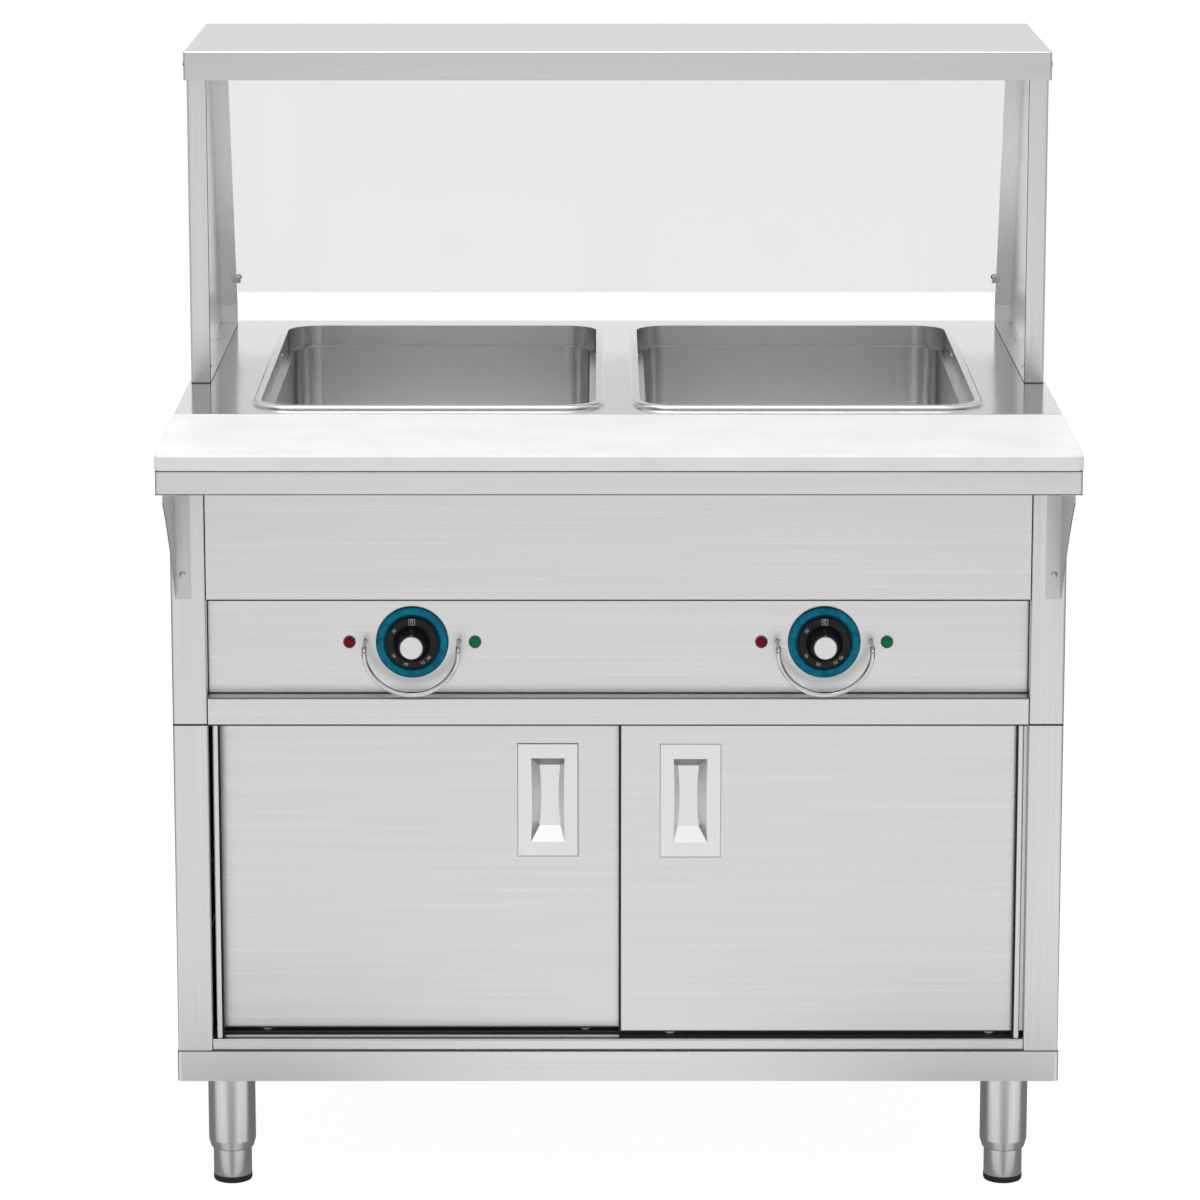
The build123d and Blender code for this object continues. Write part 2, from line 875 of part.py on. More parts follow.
def door(side):
    """Door pan with hemmed edges, a cut-out for the pull and ears that carry the rollers."""
    left, right = door_span(side)
    face = rear_door_face if side < 0 else front_door_face
    pan = Pos((left + right) / 2, face + door_thickness, (door_bottom + door_top) / 2) * Rot(90, 0, 0) * hood(
        -door_width / 2, door_width / 2, -door_height / 2, door_height / 2,
        0, door_thickness, door_wall, door_hem, door_wall,
    )
    x, z = pull_centre(side)
    pan -= block(x - cup_width / 2 - 2 * cup_wall, x + cup_width / 2 + 2 * cup_wall,
                 face - door_wall, face + 2 * door_wall,
                 z - cup_height / 2 - 2 * cup_wall, z + cup_height / 2 + 2 * cup_wall)
    gap = roller_width / 2 + roller_side_gap
    top = roller_z + roller_radius + 2 * ear_thickness
    for rx, ry in roller_centres(side):
        half = roller_radius + cutout_clearance
        pan -= block(rx - half, rx + half, ry - gap, ry + gap, door_bottom - 1, door_bottom + 3)
        for sign in (-1, 1):
            inner = ry + sign * gap
            outer = inner + sign * ear_thickness
            pan += block(rx - ear_length / 2, rx + ear_length / 2, min(inner, outer), max(inner, outer),
                         door_bottom + door_wall / 2, top)
        pan += block(rx - ear_length / 2, rx + ear_length / 2, ry - gap, ry + gap, top - ear_thickness, top)
        pin_half = gap + ear_thickness
        pan += cylinder_between(facing(rx, ry, roller_z), axle_radius, -pin_half, pin_half)
    return pan


def roller(centre):
    """Grooved roller on its pin."""
    x, y = centre
    half = roller_width / 2
    groove = roller_groove_width / 2
    bore = axle_radius + running_clearance
    profile = (
        (bore, -half), (roller_radius, -half), (roller_radius, -groove),
        (roller_radius - roller_groove, -groove), (roller_radius - roller_groove, groove),
        (roller_radius, groove), (roller_radius, half), (bore, half),
    )
    return turned(profile, Pos(x, y, roller_z) * Rot(90, 0, 0))


def pull_centre(side):
    """Middle of a door's pull plate."""
    rise = right_pull_rise if side > 0 else 0
    return door_meeting / 2 + side * pull_from_middle, door_top - pull_drop + rise


def door_pull(side):
    """Pressed pull: a bevelled plate and a cup with a sloped top, one steep side and a scooped foot."""
    x, z = pull_centre(side)
    face = rear_door_face if side < 0 else front_door_face
    plate = extrude(Rectangle(pull_width, pull_height), amount=pull_proud)
    plate = chamfer(plate.faces().sort_by(Axis.Z)[-1].edges(), pull_bevel)
    steep = side * (cup_width / 2 - cup_steep_side - cup_floor_width / 2)

    def outline(centre_x, width, top, bottom, grow, bow):
        half = width / 2 + grow
        low, high, mid = bottom - grow, top + grow, (top + bottom) / 2
        right = centre_x + half
        left = centre_x - half
        return make_face(Curve() + [
            Line((left, high), (right, high)),
            ThreePointArc((right, high), (right - bow, mid), (right, low)),
            Line((right, low), (left, low)),
            ThreePointArc((left, low), (left + bow, mid), (left, high)),
        ])

    top = cup_height / 2
    floor_top_edge = top - cup_top_slope

    def cup(grow, depth):
        mouth = outline(0, cup_width, top, -top, grow, cup_bow / 2)
        foot = outline(-steep, cup_floor_width, floor_top_edge, floor_top_edge - cup_floor_height,
                       grow, cup_bow)
        return loft([Plane.XY.offset(pull_proud) * mouth, Plane.XY.offset(-depth) * foot])

    shape = plate + (cup(cup_wall, cup_depth + cup_wall) & block(
        -cup_width, cup_width, -cup_height, cup_height, -2 * cup_depth, pull_proud / 2))
    shape -= cup(0, cup_depth)
    return Pos(x, face, z) * Rot(90, 0, 0) * shape


# Base and feet


def base_rails():
    """Four folded channel rails with mitred ends, rounded at the outer corners."""
    x = body_side + base_proud
    y0 = body_front - base_proud
    y1 = body_rear + base_proud
    ring = block(-x, x, y0, y1, leg_height, base_top)
    ring = fillet(ring.edges().filter_by(Axis.Z), base_corner)
    ring -= block(-x + sheet, x - sheet, y0 + sheet, y1 - sheet, leg_height + sheet, base_top - sheet)
    ring -= block(-x + base_flange, x - base_flange, y0 + base_flange, y1 - base_flange,
                  leg_height - sheet, base_top + sheet)
    reach = 2 * base_flange
    corners = ((-x, y0), (x, y0), (x, y1), (-x, y1))
    inward = ((1, 1), (-1, 1), (-1, -1), (1, -1))
    rails = []
    for index in range(4):
        a, b = corners[index], corners[(index + 1) % 4]
        ia, ib = inward[index], inward[(index + 1) % 4]
        outline = Polyline(
            a, b, (b[0] + ib[0] * reach, b[1] + ib[1] * reach),
            (a[0] + ia[0] * reach, a[1] + ia[1] * reach), close=True,
        )
        wedge = extrude(Plane.XY.offset(leg_height) * make_face(outline), amount=base_height)
        rails.append(ring & wedge)
    return Compound(children=rails)


def foot_places():
    """Middle of each foot, named by its corner."""
    x = body_side - leg_inset
    return {
        "front_left": (-x, body_front + leg_inset),
        "front_right": (x, body_front + leg_inset),
        "rear_left": (-x, body_rear - leg_inset),
        "rear_right": (x, body_rear - leg_inset),
    }


def leg_tubes():
    """Leg tubes with a mounting plate on top and a necked collar that guides the foot."""
    collar_top = leg_collar_height + leg_collar_length
    shoulder = leg_collar_height + leg_taper_height
    bore = foot_radius + running_clearance
    plate_low = leg_height + sheet
    profile = (
        (bore, leg_collar_height), (leg_collar_radius, leg_collar_height),
        (leg_collar_radius + leg_collar_lip, leg_collar_height + leg_collar_lip),
        (leg_radius, shoulder), (leg_radius, plate_low),
        (leg_radius - leg_wall, plate_low), (leg_radius - leg_wall, collar_top), (bore, collar_top),
    )
    legs = []
    for x, y in foot_places().values():
        leg = turned(profile, Pos(x, y, 0))
        half = leg_plate / 2
        leg += block(x - half, x + half, y - half, y + half, plate_low, plate_low + leg_plate_thickness)
        legs.append(leg)
    return Compound(children=legs)


def foot_stem(x, y):
    """Threaded insert of a foot, a plain tube outside, closed at its lower end."""
    top = leg_collar_height + foot_insertion
    hollow = foot_radius - leg_wall
    profile = (
        (0, foot_pad_height), (foot_radius, foot_pad_height), (foot_radius, top), (hollow, top),
        (hollow, foot_pad_height + 2 * leg_wall), (0, foot_pad_height + 2 * leg_wall),
    )
    return turned(profile, Pos(x, y, 0))


def foot_pad(x, y):
    """Black cap under a foot."""
    edge = foot_pad_edge
    profile = (
        (0, 0), (foot_pad_radius - edge, 0), (foot_pad_radius - edge * 0.3, edge * 0.3),
        (foot_pad_radius, edge), (foot_pad_radius, foot_pad_height), (0, foot_pad_height),
    )
    return turned(profile, Pos(x, y, 0))


# Overshelf


def overshelf():
    """Shelf pan over the wells."""
    half = counter_width / 2
    return hood(-half, half, shelf_front, shelf_rear, shelf_top - shelf_skirt, shelf_top, sheet, sheet, bend)


def slope_line(z):
    """Y of the side panel's rear edge at a height above its vertical foot."""
    return side_rear_base - (z - counter_height - side_rear_rise) * side_rear_slope


def shelf_side(side):
    """Pressed side of the overshelf: a skin with flanges turned in all round its edge."""
    top = shelf_top - sheet
    front = shelf_front + side_front_gap
    outline = make_face(Polyline(
        (front, counter_height), (side_rear_base, counter_height),
        (side_rear_base, counter_height + side_rear_rise), (slope_line(top), top), (front, top),
        close=True,
    ))
    depth = side_flange + sheet
    pan = extrude(Plane.YZ.offset(side_x - depth) * outline, amount=depth)
    pan = fillet(pan.faces().sort_by(Axis.X)[-1].edges(), bend)
    inner = offset(outline, amount=-sheet, kind=Kind.INTERSECTION)
    pan -= extrude(Plane.YZ.offset(side_x - depth - sheet) * inner, amount=depth)
    return pan if side > 0 else mirror(pan, Plane.YZ)


def glass_plane():
    """Plane on the glass's front face: X across, Y up the slope, Z to the front."""
    rise = Vector(0, -side_rear_slope, 1).normalized()
    foot = counter_height + glass_lift
    across = Vector(1, 0, 0)
    return Plane(origin=(0, slope_line(foot), foot), x_dir=across, z_dir=across.cross(rise))


def glass_length():
    """Length of the glass up its slope, to just under the shelf."""
    rise = shelf_top - shelf_skirt - glass_top_gap - counter_height - glass_lift
    return rise * (1 + side_rear_slope ** 2) ** 0.5


def glass_panel():
    """Leaning glass guard behind the side panels' rear flanges."""
    half = side_x - glass_edge
    length = glass_length()
    pane = extrude(
        glass_plane() * Pos(0, length / 2) * Rectangle(2 * half, length), amount=-glass_thickness
    )
    for height in clip_positions:
        for side in (-1, 1):
            place = glass_plane() * Pos(side * clip_x(), height)
            pane -= extrude(place * Circle(clip_screw_radius + cutout_clearance / 4),
                            amount=-2 * glass_thickness, both=True)
    return pane


def clip_x():
    """Distance of the glass screws from the middle plane."""
    return side_x - side_flange - sheet - clip_reach / 2


def glass_clips():
    """Small clamps that hold the glass to the side panels' rear flanges, with screw and nut."""
    inner = clip_x() - clip_reach / 2
    clips = []
    for height in clip_positions:
        for side in (-1, 1):
            plane = glass_plane()
            jaw_middle = inner + (clip_reach + clip_lap) / 2
            jaw = extrude(
                plane.offset(sheet) * Pos(side * jaw_middle, height)
                * Rectangle(clip_reach + clip_lap, clip_width),
                amount=clip_jaw,
            )
            foot = extrude(
                plane * Pos(side * (inner + clip_reach / 2 - 0.1), height)
                * Rectangle(clip_reach - 0.2, clip_width),
                amount=sheet,
            )
            centre = Pos(side * clip_x(), height)
            screw = extrude(plane.offset(-glass_thickness) * centre * Circle(clip_screw_radius),
                            amount=glass_thickness + sheet)
            nut = extrude(plane.offset(-glass_thickness) * centre * RegularPolygon(clip_nut_radius, 6),
                          amount=-clip_nut_height)
            clips.append(jaw + foot + screw + nut)
    return Compound(children=clips)


os.makedirs("parts", exist_ok=True)

save("counter_top", counter_top())
save("board_tray", board_tray())
save("cutting_board", cutting_board())
save("board_brackets", board_brackets())
save("heating_elements", heating_elements())
save("heat_trays", heat_trays())
save("drain_valves", drain_valves())
save("upper_back_panel", upper_back_panel())
save("upper_front_panel", upper_front_panel())
save("control_panel", control_panel())
save("door_head_rail", door_head_rail())
save("deck", deck())
save("dial_plates", dial_plates())
save("thermostats", thermostats())
save("lamp_bodies", lamp_bodies())
save("knob_guards", knob_guards())
save("terminal_block", terminal_block())
save("cable_gland", cable_gland())
save("door_top_track", door_top_track())
save("cabinet_floor", cabinet_floor())
save("cabinet_back", cabinet_back())
save("door_bottom_track", door_bottom_track())
save("door_jambs", door_jambs())
save("base_rails", base_rails())
save("leg_tubes", leg_tubes())
save("overshelf", overshelf())
save("glass_panel", glass_panel())
save("glass_clips", glass_clips())

red_places, green_places = lamp_places()
save("red_lenses", lamp_lenses(red_places))
save("green_lenses", lamp_lenses(green_places))

upper_side = side_panel(upper_bottom, body_top)
cabinet_side = side_panel(base_top, cabinet_top)
save("upper_side_right", upper_side)
save("upper_side_left", mirror(upper_side, Plane.YZ))
save("cabinet_side_right", cabinet_side)
save("cabinet_side_left", mirror(cabinet_side, Plane.YZ))

for side, name in ((-1, "left"), (1, "right")):
    save(f"well_{name}", well(side))
    save(f"drain_lever_{name}", drain_lever(side))
    save(f"knob_dial_{name}", knob_dial(side))
    save(f"knob_core_{name}", knob_core(side))
    save(f"door_{name}", door(side))
    save(f"door_pull_{name}", door_pull(side))
    save(f"shelf_side_{name}", shelf_side(side))
    for letter, centre in zip("ab", roller_centres(side)):
        save(f"roller_{name}_{letter}", roller(centre))

for name, (x, y) in foot_places().items():
    save(f"foot_stem_{name}", foot_stem(x, y))
    save(f"foot_pad_{name}", foot_pad(x, y))
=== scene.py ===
import math

import bmesh
import bpy
from bpy.props import FloatProperty, FloatVectorProperty, PointerProperty
from mathutils import Matrix, Vector


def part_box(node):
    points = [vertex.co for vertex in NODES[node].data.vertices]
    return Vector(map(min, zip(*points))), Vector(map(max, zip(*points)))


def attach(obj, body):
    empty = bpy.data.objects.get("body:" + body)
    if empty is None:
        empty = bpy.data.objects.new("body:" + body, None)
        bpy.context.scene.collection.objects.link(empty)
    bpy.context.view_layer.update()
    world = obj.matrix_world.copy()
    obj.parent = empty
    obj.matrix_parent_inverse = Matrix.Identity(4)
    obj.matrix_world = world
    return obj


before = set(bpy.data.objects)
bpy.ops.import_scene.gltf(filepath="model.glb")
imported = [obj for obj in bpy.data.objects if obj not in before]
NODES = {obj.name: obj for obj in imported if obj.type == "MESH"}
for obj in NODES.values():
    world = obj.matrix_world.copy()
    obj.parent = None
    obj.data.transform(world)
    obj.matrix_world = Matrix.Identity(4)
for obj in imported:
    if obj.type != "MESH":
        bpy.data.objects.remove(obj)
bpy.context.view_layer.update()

bl_info = {
    "name": "Steam table dressing",
    "version": (1, 0, 0),
    "blender": (4, 5, 0),
    "location": "View3D > Sidebar > Steam table",
    "description": "Finishes, fasteners and dial markings for a two-well electric steam table",
    "category": "Object",
}

MM = 0.001

FEET = ("front_left", "front_right", "rear_left", "rear_right")
FRONT, BACK, UP, DOWN = (Vector(way) for way in ((0, -1, 0), (0, 1, 0), (0, 0, 1), (0, 0, -1)))

# A grain runs along the axes marked 0 and varies along those marked 1
ACROSS, LEVEL, UPRIGHT, CAST = (0, 1, 1), (0, 0, 1), (1, 1, 0), (1, 1, 1)
# Changes of tone to the metre: of the brush lines along the grain, and of the bands over them
LINES_ALONG, BANDS_ACROSS, BANDS_ALONG = 4.0, 200.0, 0.8

PROUD = 0.25 * MM   # painted shadow lines stand this far out of the sheets
SHEET = 1.2 * MM    # thickness of the sheet that a screw holds
FIGURE = 0.7        # height of a figure as a share of its font's size


# Settings


class SteelSettings(bpy.types.PropertyGroup):
    tone: FloatVectorProperty(
        name="Sheet tone", description="Colour of the brushed sheet", subtype="COLOR",
        default=(0.72, 0.72, 0.72), min=0, max=1,
    )
    # Partly painted shade: the inside tone darkens the sheets inside the body
    dark_tone: FloatVectorProperty(
        name="Inside tone", description="Colour of unpolished inner sheet, darkened as painted shade", subtype="COLOR",
        default=(0.46, 0.46, 0.46), min=0, max=1,
    )
    well_tone: FloatVectorProperty(
        name="Well tone", description="Colour of the drawn walls of the wells", subtype="COLOR",
        default=(0.90, 0.90, 0.90), min=0, max=1,
    )
    roughness: FloatProperty(
        name="Roughness", description="Mean roughness of the brushed sheet", subtype="FACTOR",
        default=0.30, min=0, max=1,
    )
    contrast: FloatProperty(
        name="Grain contrast", description="Share by which the grain changes the tone",
        subtype="FACTOR", default=0.05, min=0, max=1,
    )
    fineness: FloatProperty(
        name="Grain fineness", description="Brush lines to the metre across the grain",
        default=1100, min=50, max=4000,
    )
    # Painted shade: narrow gaps and creases darken the sheet's colour
    gap_shade_reach: FloatProperty(
        name="Gap shade reach", description="Distance over which painted shade darkens narrow gaps",
        unit="LENGTH", default=6 * MM, min=0, max=100 * MM,
    )
    gap_shade_depth: FloatProperty(
        name="Gap shade depth", description="Tone left by painted shade in the deepest gaps", subtype="FACTOR",
        default=0.12, min=0, max=1,
    )


class DialSettings(bpy.types.PropertyGroup):
    ring_colour: FloatVectorProperty(
        name="Ring colour", description="Glossy ring round each dial", subtype="COLOR",
        default=(0.001, 0.20, 0.33), min=0, max=1,
    )
    number_height: FloatProperty(
        name="Number height", description="Height of the numbers on the dial", unit="LENGTH",
        default=3.2 * MM, min=1 * MM, max=10 * MM,
    )
    number_relief: FloatProperty(
        name="Number relief", description="How far the numbers stand out of the dial", unit="LENGTH",
        default=0.12 * MM, min=0.02 * MM, max=1 * MM,
    )
    number_radius: FloatProperty(
        name="Number radius", description="Distance of the numbers from the knob's axis",
        unit="LENGTH", default=21.9 * MM, min=5 * MM, max=30 * MM,
    )


class FastenerSettings(bpy.types.PropertyGroup):
    screw_radius: FloatProperty(
        name="Screw radius", description="Radius of a dome head", unit="LENGTH",
        default=3.4 * MM, min=0.5 * MM, max=10 * MM,
    )
    screw_height: FloatProperty(
        name="Screw height", description="Height of a dome head", unit="LENGTH",
        default=1.7 * MM, min=0.3 * MM, max=6 * MM,
    )
    stud_radius: FloatProperty(
        name="Stud radius", description="Radius of the studs inside the wells", unit="LENGTH",
        default=2.4 * MM, min=0.5 * MM, max=6 * MM,
    )
    bolt_radius: FloatProperty(
        name="Bolt radius", description="Half width of a hexagon head over its corners",
        unit="LENGTH", default=6.4 * MM, min=1 * MM, max=20 * MM,
    )
    bolt_height: FloatProperty(
        name="Bolt height", description="Height of a hexagon head", unit="LENGTH",
        default=4.0 * MM, min=0.5 * MM, max=20 * MM,
    )


class ShadowStripSettings(bpy.types.PropertyGroup):
    # Painted shadow: black strips stand for the shadow lines at the doors
    shadow_strip_width: FloatProperty(
        name="Shadow strip width", description="Width of the black strips that paint shadow lines at the doors", unit="LENGTH",
        default=1.4 * MM, min=0.3 * MM, max=3 * MM,
    )
    jamb_width: FloatProperty(
        name="Jamb width", description="Width of the upright channels beside the doors", unit="LENGTH",
        default=6.5 * MM, min=1 * MM, max=30 * MM,
    )
    # Painted shadow: dark lines between the sheets
    shadow_line_height: FloatProperty(
        name="Shadow line height", description="Height of the painted shadow lines between sheets", unit="LENGTH",
        default=0.9 * MM, min=0.2 * MM, max=2 * MM,
    )
    shadow_line_colour: FloatVectorProperty(
        name="Shadow line colour", description="Colour of the painted shadow lines between sheets", subtype="COLOR",
        default=(0.06, 0.06, 0.06), min=0, max=1,
    )


class StageSettings(bpy.types.PropertyGroup):
    lens: FloatProperty(
        name="Lens", description="Focal length of the camera in millimetres",
        default=153.0, min=20, max=400,
    )
    camera_place: FloatVectorProperty(
        name="Camera place", description="Place of the camera", subtype="TRANSLATION",
        unit="LENGTH", default=(-0.0183, -5.289, 1.656),
    )
    camera_pitch: FloatProperty(
        name="Camera pitch", description="Downward tilt of the camera", subtype="ANGLE",
        default=math.radians(11.74),
    )
    floor_half: FloatProperty(
        name="Floor half width", description="Half the width of the pale floor", unit="LENGTH",
        default=40.0, min=1, max=80,
    )
    far_level: FloatProperty(
        name="Far floor level", description="Brightness in gloss of the floor far in front",
        default=0.35, min=0, max=2,
    )
    below_level: FloatProperty(
        name="Floor level below", description="Brightness in gloss of the floor under the table",
        default=0.48, min=0, max=2,
    )
    wing_level: FloatProperty(
        name="Floor wings", description="Share of the floor's brightness in gloss far to the sides",
        default=0.70, min=0, max=1,
    )
    leg_level: FloatProperty(
        name="Leg shade", description="Share of the floor's brightness in gloss in front of the legs",
        default=0.45, min=0, max=1,
    )
    floor_share: FloatProperty(
        name="Floor whiteness", description="Share of plain white over the floor's shadow",
        subtype="FACTOR", default=0.95, min=0, max=1,
    )
    flag_level: FloatProperty(
        name="Side flags", description="Brightness in gloss of the dark flags at the sides",
        default=0.45, min=0, max=2,
    )
    strip_level: FloatProperty(
        name="Dark strips", description="Share of brightness left in gloss in the dark strips",
        default=0.15, min=0, max=1,
    )
    world_level: FloatProperty(
        name="World level", description="Strength of the world's even light",
        default=0.65, min=0, max=5,
    )
    key_power: FloatProperty(
        name="Key light", description="Power of the large soft light over the front", unit="POWER",
        default=62, min=0, max=2000,
    )


# Node helpers


def add_node(tree, kind, inputs=None, **settings):
    """New node whose inputs are linked where a socket is given, and set where a value is."""
    node = tree.nodes.new(kind)
    for key, value in settings.items():
        setattr(node, key, value)
    for socket, value in (inputs or {}).items():
        if isinstance(value, bpy.types.NodeSocket):
            tree.links.new(value, node.inputs[socket])
        else:
            node.inputs[socket].default_value = value
    return node


def calc(tree, operation, first, second=0.0):
    """Result of a Math node on sockets or values."""
    return add_node(tree, "ShaderNodeMath", {0: first, 1: second}, operation=operation).outputs[0]


class Shader:
    """A material with a Principled shader, and short calls to add to its nodes."""

    def __init__(self, name, colour, roughness, metallic=0.0, **sockets):
        self.material = bpy.data.materials.new(name)
        self.material.use_nodes = True
        self.material.diffuse_color = (*colour[:3], 1)
        self.tree = self.material.node_tree
        self.surface = self.tree.nodes["Principled BSDF"]
        self.set("Base Color", (*colour[:3], 1))
        self.set("Roughness", roughness)
        self.set("Metallic", metallic)
        for socket, value in sockets.items():
            self.set(socket.replace("_", " "), value)

    def set(self, socket, value):
        self.surface.inputs[socket].default_value = value

    def add(self, kind, inputs=None, **settings):
        return add_node(self.tree, kind, inputs, **settings)

    def link(self, source, socket):
        self.tree.links.new(source, self.surface.inputs[socket])

    def object_point(self, scale=(1, 1, 1), shift=(0, 0, 0)):
        place = self.add("ShaderNodeTexCoord")
        mapping = self.add(
            "ShaderNodeMapping",
            {"Vector": place.outputs["Object"], "Scale": scale, "Location": shift},
        )
        return mapping.outputs["Vector"]

    def noise(self, vector, detail=3.0, roughness=0.55):
        """Noise whose size is set by the scale of its point."""
        node = self.add(
            "ShaderNodeTexNoise",
            {"Vector": vector, "Scale": 1.0, "Detail": detail, "Roughness": roughness},
        )
        return node.outputs["Fac"]

    def spread(self, value, low, high, start=0.3, end=0.7):
        """Straight ramp from low to high as a value runs from start to end."""
        node = self.add(
            "ShaderNodeMapRange",
            {"Value": value, "From Min": start, "From Max": end, "To Min": low, "To Max": high},
        )
        return node.outputs["Result"]

    def tint(self, value, colour, other):
        """Mix of two colours by a value."""
        ends = {"Factor": value, 6: (*colour[:3], 1), 7: (*other[:3], 1)}
        return self.add("ShaderNodeMix", ends, data_type="RGBA").outputs[2]

    def dimmed(self, colour, level):
        """Colour times a level between 0 and 1."""
        ends = {"Factor": 1.0, 6: colour, 7: level}
        return self.add("ShaderNodeMix", ends, data_type="RGBA", blend_type="MULTIPLY").outputs[2]

    def math(self, operation, first, second=0.0):
        return calc(self.tree, operation, first, second)

    def painted_gap_shade(self, reach, depth):
        """Painted shade from ambient occlusion: 1 on open faces, down to depth inside gaps narrower
        than reach.
        """
        share = self.add("ShaderNodeAmbientOcclusion", {"Distance": reach}, samples=6).outputs["AO"]
        return self.spread(share, depth, 1.0, 0.06, 0.45)

    def lift(self):
        """Upward part of the surface's direction: 1 on level tops, 0 on upright faces, -1 below."""
        facing = self.add("ShaderNodeNewGeometry").outputs["Normal"]
        return self.add("ShaderNodeSeparateXYZ", {"Vector": facing}).outputs["Z"]

    def place(self, axis):
        """Place of the shaded point along an axis of the shared frame."""
        return self.add("ShaderNodeSeparateXYZ", {"Vector": self.object_point()}).outputs[axis]

    def bump(self, height, distance, strength=1.0):
        sizes = {"Height": height, "Strength": strength, "Distance": distance}
        self.link(self.add("ShaderNodeBump", sizes).outputs["Normal"], "Normal")


def scaled(colour, factor):
    return tuple(min(1.0, channel * factor) for channel in colour[:3])


def brushed(name, tone, grain, roughness=None, contrast=None, relief=0.15, level=None):
    """Brushed metal with painted shade in narrow gaps; a level function gives the share of the tone
    that each face keeps, as painted shade.
    """
    steel = bpy.context.scene.table_steel
    roughness = steel.roughness if roughness is None else roughness
    contrast = steel.contrast if contrast is None else contrast
    shader = Shader(name, tone, roughness, metallic=1.0)
    fine = tuple(steel.fineness if axis else LINES_ALONG for axis in grain)
    broad = tuple(BANDS_ACROSS if axis else BANDS_ALONG for axis in grain)
    middle = (0.36, 0.64)
    lines = shader.noise(shader.object_point(fine), detail=3.0, roughness=0.7)
    bands = shader.noise(shader.object_point(broad, shift=(3, 5, 7)), detail=3.0)
    value = shader.math("ADD", shader.math("MULTIPLY", lines, 0.7), shader.math("MULTIPLY", bands, 0.3))
    colour = shader.tint(shader.spread(value, 0, 1, *middle),
                         scaled(tone, 1 - contrast / 2), scaled(tone, 1 + contrast / 2))
    if level is not None:
        colour = shader.dimmed(colour, level(shader))
    # Painted shade: the colour darkens in narrow gaps and creases
    gaps = shader.painted_gap_shade(steel.gap_shade_reach, steel.gap_shade_depth)
    shader.link(shader.dimmed(colour, gaps), "Base Color")
    shader.link(shader.spread(value, roughness + 0.03, roughness - 0.03, *middle), "Roughness")
    if relief:
        shader.bump(lines, 0.04 * MM, relief)
    return shader.material


def moulded(name, colour, roughness, grain=0.03 * MM, size=900.0, **sockets):
    """Moulded or painted surface with a fine texture and a slight change of tone."""
    shader = Shader(name, colour, roughness, **sockets)
    value = shader.noise(shader.object_point((size, size, size)), detail=3.0)
    cloud = shader.noise(shader.object_point((14, 14, 14)), detail=2.0)
    tone = shader.tint(shader.spread(cloud, 0, 1), scaled(colour, 0.96), scaled(colour, 1.04))
    shader.link(tone, "Base Color")
    shader.link(shader.spread(value, roughness * 0.85, min(1, roughness * 1.15)), "Roughness")
    shader.bump(value, grain, 0.5)
    return shader.material


def dress(names, material):
    """Put one material on CAD nodes."""
    for name in names:
        node = NODES[name]
        node.data.materials.clear()
        node.data.materials.append(material)


# Pieces made in the scene


def mesh_object(name, mesh, material, body):
    """New piece at the origin that rides on a body."""
    piece = bpy.data.objects.new(name, mesh)
    bpy.context.scene.collection.objects.link(piece)
    if material is not None:
        mesh.materials.clear()
        mesh.materials.append(material)
    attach(piece, body)
    return piece


def points_mesh(name, places):
    """Mesh of loose points that carries the outward direction of each place."""
    mesh = bpy.data.meshes.new(name)
    mesh.from_pydata([tuple(place) for place, _ in places], [], [])
    facing = mesh.attributes.new("facing", "FLOAT_VECTOR", "POINT")
    facing.data.foreach_set("vector", [value for _, normal in places for value in normal])
    return mesh


def new_tree(name, sizes):
    """Geometry node tree with a geometry input and named length inputs."""
    tree = bpy.data.node_groups.new(name, "GeometryNodeTree")
    tree.interface.new_socket("Geometry", in_out="INPUT", socket_type="NodeSocketGeometry")
    for size in sizes:
        socket = tree.interface.new_socket(size, in_out="INPUT", socket_type="NodeSocketFloat")
        socket.subtype = "DISTANCE"
    tree.interface.new_socket("Material", in_out="INPUT", socket_type="NodeSocketMaterial")
    tree.interface.new_socket("Geometry", in_out="OUTPUT", socket_type="NodeSocketGeometry")
    return tree


def spread_on_points(tree, group_in, shape):
    """Finish a tree: one turned copy of the shape on every point, made real, with its material."""
    facing = add_node(
        tree, "GeometryNodeInputNamedAttribute", {"Name": "facing"}, data_type="FLOAT_VECTOR",
    )
    turned = add_node(tree, "FunctionNodeAlignRotationToVector",
                      {"Vector": facing.outputs["Attribute"]}, axis="Z")
    copies = add_node(tree, "GeometryNodeInstanceOnPoints", {
        "Points": group_in.outputs["Geometry"], "Instance": shape,
        "Rotation": turned.outputs["Rotation"],
    })
    real = add_node(tree, "GeometryNodeRealizeInstances", {"Geometry": copies.outputs["Instances"]})
    painted = add_node(tree, "GeometryNodeSetMaterial", {
        "Geometry": real.outputs["Geometry"], "Material": group_in.outputs["Material"],
    })
    out = tree.nodes.new("NodeGroupOutput")
    tree.links.new(painted.outputs["Geometry"], out.inputs["Geometry"])


def combine(tree, x, y, z):
    return add_node(tree, "ShaderNodeCombineXYZ", {"X": x, "Y": y, "Z": z}).outputs["Vector"]


